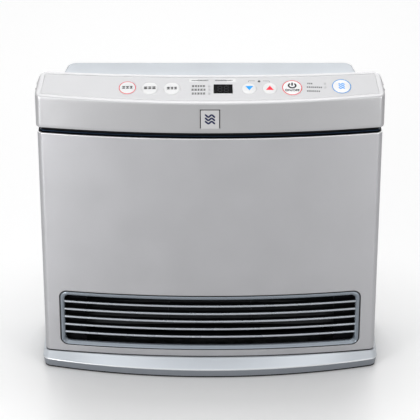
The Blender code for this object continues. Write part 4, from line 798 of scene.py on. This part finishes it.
def make_plinth():
    """Skirt: a band that leans in towards the floor, coloured darker as painted shade, a crisp
    rounded ridge in a lighter finish that is a painted highlight, and a slope up to the body's
    line. Between two edges the surface is the straight blend (1 - t) lower + t upper. A black
    strip under the band is a painted shadow line, and a black strip under the panel is painted
    shade."""

    def base(inset):
        ends = PLINTH_LOW.y, PLINTH_BOW, -PLINTH_LOW.y
        return plan(PLINTH_HIGH.x, *ends, PLINTH_CORNER, PLINTH_CORNER, inset)

    def skirt_piece(name, shape, look):
        piece(name, shape, look, nodes=["base_plinth"])

    bottom, ridge, top = PLINTH_LOW.z, PLINTH_LOW.z + PLINTH_SIDE_HEIGHT, PLINTH_HIGH.z
    split, floor = ridge - RIDGE_ROUND, bottom + EDGE_ROUND
    foot, edge = at(base(SKIRT_LEAN), floor), at(base(0), ridge)
    upper = at(body_plan(-EDGE_ROUND / 2), top)
    shoulder = foot + (edge - foot) * (split - floor) / (ridge - floor)
    wall, wall_split = at(base(PLINTH_WALL), ridge - 0.0006), at(base(PLINTH_WALL), split)
    rows = [at(base(SKIRT_LEAN + PLINTH_WALL), bottom)]
    rows += [at(base(SKIRT_LEAN + inset), bottom + z) for z, inset in quarter(EDGE_ROUND, 5)]
    rows += [foot + (shoulder - foot) * t for t in (0.25, 0.5, 0.75, 1)]
    band = hoop(rows + [shoulder + wall_split - at(base(0), split)])
    # The band's darker finish is painted shade.
    skirt_piece("plinth_band", band, SKIRT_PAINTED_SHADE)
    way = upper - edge
    end = edge + way * RIDGE_ROUND * 1.1 / np.linalg.norm(way, axis=1).mean()
    crest = curved(shoulder, edge, end, 6)
    # The ridge's lighter finish is a painted highlight.
    skirt_piece("plinth_ridge", hoop(crest + [wall, wall_split]), RIDGE_PAINTED_HIGHLIGHT)
    slope = [end + (upper - end) * t for t in (0, 0.25, 0.5, 0.75, 0.93, 1)]
    ledge = body_plan(SKIRT_TOP_WIDTH)
    slope += [at(ledge, top), at(ledge, top - SKIRT_TOP_THICK), wall]
    skirt_piece("plinth_skirt", hoop(slope), "silver_blue_plastic")
    # A black strip along the band's foot, just over the floor: a painted shadow line.
    strip = rail(lambda inset: base(SKIRT_LEAN + inset), 0.0004, bottom + 0.0004, 0.0006, 0.003)
    skirt_piece("plinth_shadow_strip", strip, "black_rubber")
    # A black strip in the seam between panel and plinth: painted shade.
    seal = rail(body_plan, top - 0.0004, top + 0.0018, 0.0012, 0.0035)
    skirt_piece("panel_shade_strip", seal, "black_rubber")


def make_recess():
    """Glossy band between panel and cover, a low round z = low + t (high - low), inset
    depth (1 - sin pi t)^2, carried round the body's line, with black grooves over and under it. The
    black is painted shade, for the shadow under the cover and in the gap over the panel."""
    low, high, back = TRIM_LOW.z, TRIM_HIGH.z, TRIM_HIGH.y + RECESS_INSET

    def carried(steps):
        around = BODY_HALF, BODY_FRONT, BODY_BOW, back, PANEL_CORNER, PANEL_CORNER
        return hoop([at(plan(*around, RECESS_INSET + inset), z) for inset, z in steps])

    # Black over and under the band, in the cover's shadow and the gap over the panel: painted
    # shade.
    foot = [(-0.0024, low), (-0.0024, low + 0.0006), (0.0012, low + 0.0011)]
    foot += [(0.0012, high), (0.003, high), (0.003, low)]
    piece("recess_painted_shade", carried(foot), "black_plastic", nodes=["recess_trim"])
    start, end = low + BAND_LOW, low + BAND_HIGH
    share = np.linspace(0, 1, 11)
    inset = BAND_DEPTH * (1 - np.sin(math.pi * share)) ** 2
    band = [*zip(inset, start + (end - start) * share), (0.0016, end), (0.0016, start)]
    piece("recess_band", carried(band), "navy_gloss_plastic", nodes=["recess_trim"])


# Top cover and control panel


def cover_front(x):
    """The cover's bowed front in plan: front - proud + R - sqrt(R^2 - x^2)."""
    return BODY_FRONT - COVER_PROUD + bow_back(x, COVER_HALF)


def cover_back(x):
    """Its back edge: front + depth + bow (x / half)^2."""
    return BODY_FRONT + COVER_DEPTH + COVER_BACK_BOW * np.square(x / COVER_HALF)


def cover_height(x, y):
    """The sloping surface: top - tan(slope) (back(x) - y)."""
    return COVER_TOP - SLOPE * (cover_back(x) - y)


def slope_normal(x):
    """The slope's normal: (2 tan(slope) bow x / half^2, -tan(slope), 1), made one long."""
    normal = grid(2 * SLOPE * COVER_BACK_BOW * x / COVER_HALF**2, -SLOPE, 1.0)
    return normal / np.linalg.norm(normal, axis=-1)[..., None]


def tapered(points):
    """Draws the cover's ends in towards the back: x (1 - taper / half * share of the depth)."""
    x, y, z = np.moveaxis(points, -1, 0)
    front, back = cover_front(COVER_HALF), cover_back(COVER_HALF)
    return grid(x * (1 - COVER_TAPER / COVER_HALF * (y - front) / (back - front)), y, z)


def fall(past, radius):
    """How far a round has dropped, a distance past its start: r - sqrt(r^2 - past^2)."""
    past = np.clip(past, 0, radius)
    return radius - np.sqrt(radius * radius - past * past)


def stations_across():
    """Stations across the cover: place, share of the seat's drop and share of the badge's."""
    seat, ledge = PLATE_HALF + GAP, PLATE_HALF - PLATE_LEDGE
    badge, beside = BADGE_HIGH.x + GAP, 0.0008
    flat = COVER_HALF - COVER_BACK_CORNER
    turn = COVER_BACK_CORNER * np.sin(np.linspace(0, QUARTER, 15)[1:])
    near = [*np.linspace(0, badge - beside, 5), badge - STEP]
    far = [badge, badge + beside, *np.linspace(badge + 0.004, flat, 36), *(flat + turn)]
    far += [ledge, seat - STEP, seat, seat + 0.0004]
    right = np.array(sorted([(x, 1, 1) for x in near] + [(x, x < seat, 0) for x in far]), float)
    return np.concatenate([right[:0:-1] * (-1, 1, 1), right])


def cover_sections(seated=True):
    """The cover as sections across it: up the bowed front, over a rounded rim, down into the
    panel's seat, out again, over the back rim and down. Ends fall back round the corners. A rim is
    the bend foot + t^2 rim along the slope and (1 - t)^2 rim up. Gives the points, and the
    columns where the seat's floor and the rim begin and end."""
    x, in_seat, in_badge = stations_across().T
    reach, half = np.abs(x), COVER_HALF
    front = cover_front(x) + fall(reach - (half - COVER_FRONT_CORNER), COVER_FRONT_CORNER)
    back = cover_back(x) - fall(reach - (half - COVER_BACK_CORNER), COVER_BACK_CORNER)
    drop = fall(reach - (half - COVER_END_ROUND), COVER_END_ROUND)
    lift = COVER_BOTTOM + fall(reach - (half - COVER_WALL), COVER_WALL) / 2 + COVER_HEM
    lean, rise = math.cos(COVER_SLOPE), math.sin(COVER_SLOPE)
    near_z, far_z = cover_height(x, front) - drop, cover_height(x, back) - drop
    columns = []

    def add_column(y, z):
        columns.append(grid(x, y, z))

    def add_top(y, sunk):
        seat = sunk * in_seat * seated * (PLATE_THICK + GAP)
        add_column(y, cover_height(x, y) - drop - seat)

    for up, inset in quarter(COVER_FOOT_ROUND, 5):
        add_column(front + inset, lift + up)
    face_low, face_high = lift + COVER_FOOT_ROUND, near_z - RIM
    foot = COVER_BOTTOM + COVER_FOOT_ROUND
    low, high = BADGE_LOW.z - GAP, BADGE_HIGH.z + GAP
    pocket = [(low - 0.002, 0), (low, 0), (low + STEP, 1), (BADGE_LOW.z + 0.001, 1)]
    pocket += [((low + high) / 2, 1), (BADGE_HIGH.z - 0.001, 1), (high - STEP, 1)]
    pocket += [(high, 0), (high + 0.002, 0)]
    for place, sunk in pocket:
        share = (place - foot) / (face_high[len(x) // 2] - foot)
        height = face_low + share * (face_high - face_low)
        add_column(front + BADGE_POCKET * sunk * in_badge, height)
    rim_start = len(columns) + 2
    for t in np.linspace(0, 1, 8):
        add_column(front + t * t * RIM * lean, near_z - (1 - t) ** 2 * RIM + t * t * RIM * rise)
    brink, ledge = PLATE_FRONT_RIM - GAP, PLATE_FRONT_RIM + PLATE_LEDGE
    for offset, sunk in ((0.0035, 0), (0.0042, 0), (brink - STEP, 0), (brink, 1), (ledge, 1)):
        add_top(front + offset, sunk)
    floor_start = len(columns) - 1
    for share in (0.25, 0.5, 0.75):
        add_top(front + (back - front) * share, 1)
    floor_end = len(columns)
    brink, ledge = PLATE_BACK_RIM - GAP, PLATE_BACK_RIM + PLATE_LEDGE
    for offset, sunk in ((ledge, 1), (brink, 1), (brink - STEP, 0), (0.0045, 0), (0.0036, 0)):
        add_top(back - offset, sunk)
    rim_end = len(columns) + 5
    for t in np.linspace(1, 0, 8):
        add_column(back - t * t * RIM * lean, far_z - (1 - t) ** 2 * RIM - t * t * RIM * rise)
    for share in (0.35, 0.7, 1.0):
        add_column(back, (far_z - RIM) * (1 - share) + lift * share)
    points = tapered(np.stack(columns, axis=1))
    return points, slice(floor_start, floor_end), slice(rim_start, rim_end)


def end_cap(ring, side):
    """A flat end inside a ring of points, with a narrow border so that it shades flat."""
    middle = ring.mean(axis=0)
    corners, faces = surface([ring, middle + (ring - middle) * 0.96])
    count = len(ring)
    return corners, faces + [list(range(count, 2 * count))[::side]]


def make_cover():
    """Front, sides and back as one skin and the rim as another, both open over the seat's floor.
    The rim's lighter finish is a painted highlight.
    """
    points, floor, rim_columns = cover_sections()
    inside = np.abs(stations_across()[:, 0]) < PLATE_HALF - PLATE_LEDGE + 1e-6
    opened = np.zeros((points.shape[0] - 1, points.shape[1] - 1), bool)
    opened[:, floor] = (inside[1:] & inside[:-1])[:, None]
    rim = np.zeros_like(opened)
    rim[:, rim_columns] = True
    ends = end_cap(points[0], 1), end_cap(points[-1], -1)
    skin = gathered(surface(points, skip=opened | rim), *ends)
    top = surface(points, skip=opened | ~rim)
    wall = COVER_WALL * 0.9
    thicken(piece("top_cover_skin", skin, "silver_white_plastic", nodes=["top_cover"]), wall)
    thicken(piece("top_cover_rim", top, RIM_PAINTED_HIGHLIGHT, nodes=["top_cover"]), wall)


def panel_point(x, y, lift=0.0):
    """Points over the sloping surface, lift above it along its normal."""
    return grid(x, y, cover_height(x, y)) + lift * slope_normal(x)


def panel_frame(x, line):
    """A frame on the slope, line down from the back rim: Z square to it, Y up the slope."""
    y = float(cover_back(x)) - line
    normal = Vector(slope_normal(np.float64(x)))
    across = Vector((0, 1, 0)).cross(normal).normalized()
    turn = Matrix((across, normal.cross(across), normal)).transposed().to_4x4()
    return Matrix.Translation((x, y, float(cover_height(x, y)))) @ turn


def control_plate():
    """The plate, on the points (x, y, slope's height + lift), with a fine round along its edges."""
    x = np.linspace(-PLATE_HALF, PLATE_HALF, 121)
    front, back = cover_front(x) + PLATE_FRONT_RIM, cover_back(x) - PLATE_BACK_RIM
    ease = PLATE_EASE
    section = [(0, -PLATE_THICK), (0, -ease), (0.3 * ease, -0.3 * ease), (ease, 0)]
    columns = [(front + step, lift) for step, lift in section]
    columns += [(front + (back - front) * share, 0.0) for share in np.linspace(0.05, 0.95, 13)]
    columns += [(back - step, lift) for step, lift in section[::-1]]
    points = [grid(x, y, cover_height(x, y) + lift) for y, lift in columns]
    return loft(tapered(np.stack(points, axis=1)))


def on_panel(low, high, x):
    """A box on the slope, in the frame of a place on the buttons' line."""
    corners, faces = block(low, high)
    return moved(corners, panel_frame(x, BUTTON_LINE)), faces


def make_control_panel():
    """The plate with holes for the buttons, the light guides and the window."""
    holes = [drill(radius + GAP, panel_frame(x, BUTTON_LINE)) for _, x, radius in BUTTONS.values()]
    for x, lines in LAMPS:
        holes += [drill(LAMP_RADIUS + GAP, panel_frame(x, line), 24) for line in lines]
    half, deep = WINDOW_WIDTH / 2 + GAP, WINDOW_LENGTH / 2 + GAP
    holes.append(on_panel((-half, -deep, -0.01), (half, deep, 0.01), WINDOW_X))
    mesh = cut("control_plate", control_plate(), *holes)
    piece("control_plate", mesh, PLATE_WHITE, nodes=["control_panel"])


# Controls


def dome(share):
    """A cap's height at a share of its radius: side + (proud - side) (1 - share^2.6)."""
    return BUTTON_SIDE + (BUTTON_PROUD - BUTTON_SIDE) * (1 - share**DOME_POWER)


def make_buttons():
    """Push buttons: a domed cap over a flange and a stem, turned about the slope's normal."""
    for name, (body, x, radius) in BUTTONS.items():
        edge, wide = radius + 0.7 * GAP, radius + BUTTON_FLANGE
        under = -PLATE_THICK - GAP
        below = under - BUTTON_FLANGE_THICK
        rest = [(edge, -0.0001), (edge, under), (wide, under), (wide, below)]
        rest += [(STEM_RADIUS, below), (STEM_RADIUS, -STEM_LENGTH), (0, -STEM_LENGTH)]
        cap = [(edge * share, dome(share)) for share in np.linspace(0, 0.955, 10)]
        profile = np.concatenate([cap, eased(rest, 0.0003, 3)])
        look = CAP_BRIGHT if body in ("power_button", "air_button") else CAP_WHITE
        piece(f"{name}_cap", turned(profile, panel_frame(x, BUTTON_LINE)), look, body, [name])


def printed(outlines, x, line, lift=0.0):
    """Closed outlines in millimetres, across and up the slope from a place on the panel, as thin
    prisms that follow the surface."""
    parts = []
    for outline in outlines:
        u, v = np.asarray(outline, float).T * MM
        y = cover_back(x) - line + v * math.cos(COVER_SLOPE)
        faces = [panel_point(x + u, y, lift + step) for step in (-PRINT_THICK, PRINT_THICK)]
        parts.append(loft(faces))
    return gathered(*parts)


def bar(left, low, right, high, ease=0.3):
    """A bar with rounded ends, as an outline: centre + r cos a, centre + r sin a at each corner."""
    ease = min(ease, (high - low) / 2)
    x0, x1, z0, z1 = left + ease, right - ease, low + ease, high - ease
    points = []
    for start, (x, z) in enumerate(((x1, z0), (x1, z1), (x0, z1), (x0, z0)), -1):
        angle = np.linspace(0, QUARTER, 4) + start * QUARTER
        points += list(zip(x + ease * np.cos(angle), z + ease * np.sin(angle)))
    return points


def stroke(path, width):
    """A line of points drawn with a width: half of it to either side, square to the line."""
    path = np.asarray(path, float)
    along = np.gradient(path, axis=0)
    along /= np.linalg.norm(along, axis=1)[:, None]
    side = grid(-along[:, 1], along[:, 0]) * width / 2
    return np.concatenate([path - side, (path + side)[::-1]])


def ripples(half, count, rises, height, pace, width):
    """Wavy lines over one another, each rise + height sin(pace u)."""
    u = np.linspace(-half, half, count)
    wave = height * np.sin(pace * u)
    return [stroke(grid(u, rise + wave), width) for rise in rises]


def words(wide, height, seed):
    """Short dashes of uneven length over one another, in place of a row of print."""
    dashes, left = [], 0.0
    for length in np.random.default_rng(seed).uniform(0.8, 1.15, 40) * height:
        if left + length > wide:
            break
        for level in (-0.33, 0.33):
            low, high = (level - 0.19) * height, (level + 0.19) * height
            dashes.append(bar(left, low, left + length, high))
        middle = left + length * 0.45
        dashes.append(bar(middle, -0.4 * height, middle + 0.2 * height, 0.4 * height, 0.2))
        left += length + 0.26 * height
    wide = left - 0.26 * height
    return [[(u - wide / 2, v) for u, v in dash] for dash in dashes]


def make_button_prints():
    """Coloured rings and plain marks on the buttons."""
    inks = {"button_save": INK_PINK, "button_power": INK_PINK, "button_air": INK_SKY}
    for name, ink in inks.items():
        body, x, radius = BUTTONS[name]
        low, high = dome(0.92) - PRINT_THICK, dome(0.92) + PRINT_THICK
        outside = radius * 0.985
        inside = outside - RING_WIDTH
        ring = [(inside, high), (outside, high), (outside, low), (inside, low), (inside, high)]
        piece(f"{name}_ring", turned(ring, panel_frame(x, BUTTON_LINE)), ink, body)

    turn = np.linspace(math.radians(125), math.radians(415), 25)
    arc = grid(4.8 * np.cos(turn), 3.4 + 4.2 * np.sin(turn))
    marks = {
        "button_down": ([[(-5.2, 3.7), (0, -3.9), (5.2, 3.7)]], INK_BLUE),
        "button_up": ([[(-5.2, -3.7), (5.2, -3.7), (0, 3.9)]], INK_RED),
        "button_air": (ripples(4.0, 25, (-3.6, 0.0, 3.6), 1.0, 1.15, 1.5), INK_BLUE),
        "button_save": (words(16.5, 4.2, 20), INK_BLACK),
        "button_night": (words(16.5, 4.2, 21), INK_BLACK),
        "button_morning": (words(16.5, 4.2, 22), INK_BLACK),
        "button_power": ([stroke(arc, 2.2), stroke([(0, 3.2), (0, 8.6)], 2.2)], INK_BLACK),
    }
    for name, (outlines, ink) in marks.items():
        body, x, _ = BUTTONS[name]
        piece(f"{name}_mark", printed(outlines, x, BUTTON_LINE, BUTTON_PROUD), ink, body)
    lettering("button_power_words", "ON/OFF", 5.3, -5.2, "button_power", INK_BLACK)


def make_plate_prints():
    """Rows of dashes by the light guides, a white strip over the window, and a bracket with a lock
    over the two arrows."""
    rows = [(-0.0154, line, 20, 3.1, INK_BLACK) for line in LAMPS[0][1]]
    for x, line, width in ((0.1336, 0.0180, 9.5), (0.1396, 0.0245, 22), (0.1382, 0.0310, 19)):
        rows.append((x, line, width, 2.1, INK_GREY))
    for index, (x, line, width, height, ink) in enumerate(rows):
        piece(f"plate_words_{index}", printed(words(width, height, index), x, line), ink)
    piece("plate_strip", printed([bar(-31, -2.8, 31, 2.8, 0.5)], 0.0033, STRIP_LINE), CAP_BRIGHT)
    for (side, name), x in zip(SIDES, (-0.0135, 0.0185)):
        shape = printed(words(24, 1.4, 10 + side), x, STRIP_LINE, 2 * PRINT_THICK)
        piece(f"plate_strip_words_{name}", shape, INK_GREY)
    bracket = [(14, -1.2), (14, 0.4), (13.4, 1.0), (5.5, 1.0)]
    marks = [stroke([(side * u, v) for u, v in bracket], 0.45) for side, _ in SIDES]
    arch = np.linspace(0, math.pi, 9)
    shackle = grid(1.1 * np.cos(arch), 0.9 + 1.3 * np.sin(arch))
    marks += [bar(-1.7, -1.4, 1.7, 0.9), stroke(shackle, 0.45)]
    piece("plate_bracket", printed(marks, 0.0656, 0.0127), INK_GREY)


def lettering(name, text, size, rise, button, ink):
    """Plain lettering on a button, size and rise up the slope in millimetres."""
    body, x, _ = BUTTONS[button]
    curve = bpy.data.curves.new(name, "FONT")
    curve.body, curve.size, curve.align_x, curve.align_y = text, size, "CENTER", "CENTER"
    curve.extrude, curve.offset = PRINT_THICK / MM, 0.14
    source = linked(name, curve)
    mesh = evaluated_mesh(source)
    bpy.data.objects.remove(source)
    points = np.empty(3 * len(mesh.vertices))
    mesh.vertices.foreach_get("co", points)
    u, v, w = points.reshape(-1, 3).T * MM
    y = cover_back(x) - BUTTON_LINE + (v + rise * MM) * math.cos(COVER_SLOPE)
    mesh.vertices.foreach_set("co", panel_point(x + u, y, BUTTON_PROUD + w[:, None]).ravel())
    mesh.shade_flat()
    piece(name, mesh, ink, body)


def make_display():
    """Smoked pane with a fine bevel, and the unlit segments of two digits in it."""
    half, deep = (WINDOW_WIDTH + GAP) / 2, (WINDOW_LENGTH + GAP) / 2
    shape = on_panel((-half, -deep, -PLATE_THICK), (half, deep, GAP / 2), WINDOW_X)
    soften(piece("display_pane", shape, "smoked_window", nodes=["display_window"]), 0.00025)
    wide, tall, pen, digits = 2.6, 4.8, 0.95 / 2, []
    for middle in (-4.2, 4.2):
        for v in (-tall, 0, tall):
            digits.append(bar(middle - wide + 0.5, v - pen, middle + wide - 0.5, v + pen, 0.4))
        for u in (middle - wide, middle + wide):
            for v in (-tall, 0):
                digits.append(bar(u - pen, v + 0.6, u + pen, v + tall - 0.6, 0.4))
    piece("display_digits", printed(digits, WINDOW_X, BUTTON_LINE, GAP / 2), INK_DIGIT)


def make_badge():
    """A bevelled plate with a dark seal round it, and three wavy lines of warm air."""
    low, high, rim = np.array(BADGE_LOW), np.array(BADGE_HIGH), 0.0011
    piece("badge_seal", block(low + (0, 0.0007, 0), high), "black_rubber", nodes=["badge_plate"])
    plate = block(low + (rim, 0, rim * 0.2), high - (rim, 0, rim * 0.7))
    soften(piece("badge", plate, BADGE_SILVER, nodes=["badge_plate"]), 0.0005, 3)
    parts = []
    for outline in ripples(6.9, 33, (-4.4, 0.4, 5.2), 1.5, 0.72, 2.5):
        u, v = outline.T * MM
        z = (low[2] + high[2]) / 2 + v
        parts.append(loft([grid(u, low[1] + step, z) for step in (0.00012, -0.00004)]))
    piece("badge_waves", gathered(*parts), INK_NAVY)


# Back


def case_line(front, inset):
    """The rear case's outline: straight front, sides and back, with rounded rear corners."""
    half, back, corner = BODY_HALF - inset, BODY_BACK - inset, CASE_CORNER - inset
    turn = np.linspace(QUARTER, math.pi, 17)
    side = np.linspace(front, back - corner, 9)[:-1]
    arc = (half - corner, back - corner) + corner * grid(np.sin(turn), -np.cos(turn))
    return mirrored(np.concatenate([grid(half, side), arc]))


def backwards(node, y=0.0):
    """A frame at y in the middle of a node, its Z axis towards the back."""
    middle = sum(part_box(node), Vector()) / 2
    return Matrix.Translation((middle.x, y, middle.z)) @ Matrix.Rotation(-QUARTER, 4, "X")


def cover_solid():
    """The cover as one closed solid larger by GAP all round, to cut its neighbours by."""
    middle = np.array((0.0, (BODY_FRONT + cover_back(0)) / 2, (COVER_BOTTOM + COVER_TOP) / 2))
    size = np.array((COVER_HALF, COVER_DEPTH / 2, COVER_HEIGHT / 2))
    return loft(middle + (cover_sections(seated=False)[0] - middle) * (1 + GAP / size))


def make_case():
    """The shell, its top edge r - r cos a in and r - r sin a down, hollowed, with openings for the
    deck's outlet, the intake, the grips, the gas plug and the cord."""
    front, inside = CASE_LOW.y, case_line(CASE_LOW.y - CUT_PAST, CASE_WALL)
    levels = [(0.0, CASE_LOW.z)]
    levels += [(inset, SHOULDER - drop) for inset, drop in quarter(CASE_TOP_ROUND, 7)]
    shell = loft([at(case_line(front, inset), z) for inset, z in levels])
    hollow = loft([at(inside, z) for z in (CASE_LOW.z - CUT_PAST, SHOULDER - CASE_WALL)])
    vent = BODY_HALF - DECK_BACK_INSET - DECK_CORNER
    back = BODY_BACK - DECK_FROM_BACK - DECK_CORNER
    low, high = (-vent, front - CUT_PAST, SHOULDER - CUT_IN), (vent, back, SHOULDER + CUT_PAST)
    tools = [hollow, cover_solid(), block(low, high)]
    edge = INSERT_EDGE - GAP
    low, high = GRILLE_LOW + Vector((edge, 0, edge)), GRILLE_HIGH - Vector((edge, 0, edge))
    low.y, high.y = BODY_BACK - CUT_PAST, BODY_BACK + CUT_PAST
    tools.append(block(low, high))
    for side, name in SIDES:
        low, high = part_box(f"grip_{name}")
        near, far = sorted((side * (BODY_HALF - CUT_IN), side * (BODY_HALF + CUT_PAST)))
        low, high = (near, low.y + edge, low.z + edge), (far, high.y - edge, high.z - edge)
        tools.append(block(low, high))
    for name, radius in (("gas_inlet_plug", 0.008), ("cord_gland", 0.0077)):
        tools.append(drill(radius + GAP, backwards(name, BODY_BACK), 48))
    mesh = cut("case_shell", shell, *tools)
    piece("case_shell", mesh, "silver_blue_plastic", nodes=["rear_case"])


def make_deck():
    """Raised deck: its outline leans in as it rises, and its top edge is rounded by r - r cos a."""
    foot, top = DECK_LOW.z, DECK_HIGH.z
    front = float(cover_back(0)) - 0.002
    turn = np.linspace(QUARTER, math.pi, 13)
    arc = DECK_CORNER * grid(np.sin(turn) - 1, -np.cos(turn) - 1)

    def ring(z, lean, inset):
        out = lean / 2 - inset
        near = BODY_HALF - DECK_INSET + out, front
        far = BODY_HALF - DECK_BACK_INSET + out, BODY_BACK - DECK_FROM_BACK + lean - inset
        return at(mirrored(np.concatenate([[near], far + arc])), z)

    rise = top - foot
    levels = [(0.0, 1.0, 0.0), (0.04, 0.93, 0.0)]
    levels += [(h, 1 - h, 0.0) for h in np.linspace(0.1, 1 - DECK_TOP_ROUND / rise, 6)]
    for inset, drop in quarter(DECK_TOP_ROUND, 6)[1:]:
        levels.append((1 - drop / rise, drop / rise, inset))
    shell = loft([ring(foot + rise * h, DECK_LEAN * lean, inset) for h, lean, inset in levels])
    inner = ((foot - 0.01, 1), (foot, 1), (top - CASE_WALL, 0.06))
    hollow = loft([ring(z, DECK_LEAN * lean, DECK_WALL) for z, lean in inner])
    mesh = cut("deck_shell", shell, hollow, cover_solid())
    piece("deck_shell", mesh, "silver_blue_plastic", nodes=["rear_deck"])


def make_plain_solids():
    """Moulded boxes and castings whose CAD shape is right, with eased edges."""
    eases = {
        "intake_grille": 0.0004, "grip_left": 0.0005, "grip_right": 0.0005,
        "gas_valve": 0.0008, "transformer": 0.0008, "igniter_module": 0.0008,
        "ion_unit": 0.0006, "tip_over_switch": 0.0006, "room_thermistor": 0.0005,
        "solenoid_main": 0.0006, "solenoid_safety": 0.0006, "fan_motor": 0.0008,
    }
    slots = {row["node"]: row["material_slot"] for row in frame["record"]["subparts"]}
    for node, ease in eases.items():
        soften(piece(f"{node}_eased", merged(node), slots[node], nodes=[node]), ease, 2, 50)


def make_filter():
    """The filter's frame with eased edges, and a net of fine strands across its windows."""
    rides = {"body": "filter", "nodes": ["air_filter"]}
    soften(piece("filter_frame", merged("air_filter"), "dark_grey_plastic", **rides), 0.0003, 2, 50)
    edge, fine, pitch = 0.0075, 0.00018, 0.003
    left, right = FILTER_LOW.x + edge, FILTER_HIGH.x - edge
    foot, top = FILTER_LOW.z + edge, FILTER_HIGH.z - edge
    y = FILTER_LOW.y + 0.0007
    strands = []
    for x in np.arange(left + pitch, right, pitch):
        strands.append(block((x - fine, y - fine, foot), (x + fine, y + fine, top)))
    for z in np.arange(foot + pitch, top, pitch):
        strands.append(block((left, y, z - fine), (right, y + 2 * fine, z + fine)))
    piece("filter_net", gathered(*strands), "dark_grey_plastic", **rides)


def make_fittings():
    """Turned pieces: rubber feet with their bosses, the cord's gland and the nipple that the hose
    pushes onto."""
    foot = [(0, 0), (0.0110, 0), (0.0110, 0.0017), (0.003, 0.0017), (0.003, 0.008), (0, 0.008)]
    low, high = 0.0019, PLINTH_HIGH.z - 0.0014
    boss = [(0.0034, low), (0.0110, low), (0.0110, high), (0.0034, high), (0.0034, low)]
    for where in ("front_left", "front_right", "rear_left", "rear_right"):
        node = f"foot_{where}"
        middle = sum(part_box(node), Vector()) / 2
        place = Matrix.Translation((middle.x, middle.y, 0))
        shape = turned(eased(foot, 0.0005), place, 48)
        piece(f"{node}_turned", shape, "black_rubber", nodes=[node])
        shape = turned(eased(boss, 0.0003), place, 48)
        piece(f"plinth_boss_{where}", shape, "silver_blue_plastic", nodes=["base_plinth"])

    near, far = [corner.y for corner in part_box("cord_gland")]
    gland = [(0.0035, near), (0.010, near), (0.010, near + 0.002), (0.0077, near + 0.002)]
    gland += [(0.0077, far - 0.002), (0.010, far - 0.002), (0.0094, far), (0.0048, far)]
    gland += [(0.0035, far - 0.0012), (0.0035, near)]
    shape = turned(eased(gland, 0.0004), backwards("cord_gland"))
    piece("cord_gland_turned", shape, "black_rubber", nodes=["cord_gland"])
    near, far = [corner.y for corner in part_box("gas_inlet_plug")]
    collar, neck = far - 0.0132, 0.0055
    plug = [(0, near), (0.008, near), (0.008, collar), (0.011, collar), (0.011, collar + 0.003)]
    plug += [(neck, collar + 0.003), (neck, collar + 0.0055), (0.0065, collar + 0.0068)]
    plug += [(neck, collar + 0.0084), (neck, far - 0.001), (0.0048, far), (0.0032, far)]
    plug += [(0.0032, far - 0.009), (0, far - 0.009)]
    shape = turned(eased(plug, 0.0003), backwards("gas_inlet_plug"))
    piece("gas_plug_turned", shape, "brass", nodes=["gas_inlet_plug"])


# Studio


def seen_directly(tree):
    """1 for rays that the camera, a gloss or a clear surface sends, else 0: their largest."""
    path = add(tree, "LightPath").outputs
    seen = maths(tree, "MAXIMUM", path["Is Camera Ray"], path["Is Glossy Ray"])
    return maths(tree, "MAXIMUM", seen, path["Is Transmission Ray"])


def make_world():
    """A faint ambient light, and white where the backdrop is seen."""
    world = bpy.data.worlds.new("studio")
    bpy.context.scene.world = world
    world.use_nodes = True
    tree = world.node_tree
    tree.nodes.clear()
    ambient = add(tree, "Background", {"Color": (0.97, 0.98, 1.0, 1), "Strength": AMBIENT})
    backdrop = add(tree, "Background", {"Color": (1, 1, 1, 1), "Strength": 1.0})
    shaders = ambient.outputs["Background"], backdrop.outputs["Background"]
    mix = add(tree, "MixShader", {"Fac": seen_directly(tree), 1: shaders[0], 2: shaders[1]})
    add(tree, "OutputWorld", {"Surface": mix.outputs["Shader"]})


def make_floor():
    """A pale floor, lifted towards white where it is seen, and less so close to the object: the
    lift is openness^1.6, so that the shadow stays."""
    mesh = mesh_of("floor", surface([[(x, y, 0.0) for x in (-6, 6)] for y in (-6, 6)]))
    pale = bpy.data.materials.new("floor")
    pale.use_nodes = True
    tree = pale.node_tree
    openness = add(tree, "AmbientOcclusion", {"Distance": FLOOR_SHADE_REACH}).outputs["AO"]
    openness = maths(tree, "POWER", openness, FLOOR_SHADE_POWER)
    lift = maths(tree, "MULTIPLY", seen_directly(tree), openness)
    look = {
        "Base Color": (0.72, 0.72, 0.72, 1),
        "Roughness": 0.30,
        "Emission Color": (1, 1, 1, 1),
        "Emission Strength": maths(tree, "MULTIPLY", lift, FLOOR_LIFT),
    }
    feed(tree, tree.nodes["Principled BSDF"], look)
    mesh.materials.append(pale)
    linked("floor", mesh)


def make_lamps():
    """Soft light from above, behind and both sides in front."""
    for name, place, target, size, power in STUDIO_LAMPS:
        light = bpy.data.lights.new(name, "AREA")
        light.shape, light.energy = "RECTANGLE", power
        light.size, light.size_y = size
        way = Vector(target) - Vector(place)
        turn = way.to_track_quat("-Z", "Y").to_matrix().to_4x4()
        linked(name, light).matrix_world = Matrix.Translation(place) @ turn


def make_camera():
    """The photograph's view: 28 degrees down from 2.7 m in front, through a long lens."""
    data = bpy.data.cameras.new("camera")
    data.sensor_width, data.lens = SENSOR, SENSOR * FOCAL_PIXELS / PICTURE_WIDTH
    camera = linked("camera", data)
    turn = Matrix.Rotation(QUARTER - CAMERA_TILT, 4, "X")
    camera.matrix_world = Matrix.Translation(CAMERA_PLACE) @ turn
    bpy.context.scene.camera = camera
    bpy.context.scene.view_settings.view_transform = "Standard"


def dress_solids():
    """Every solid that stays gets the finish of its slot."""
    for row in frame["record"]["subparts"]:
        materials = frame["nodes"][row["node"]].data.materials
        materials.clear()
        materials.append(FINISHES[row["material_slot"]])


dress_solids()
make_front_panel()
make_louvre()
make_plinth()
make_recess()
make_cover()
make_control_panel()
make_buttons()
make_button_prints()
make_plate_prints()
make_display()
make_badge()
make_case()
make_deck()
make_plain_solids()
make_filter()
make_fittings()
make_world()
make_floor()
make_lamps()
make_camera()
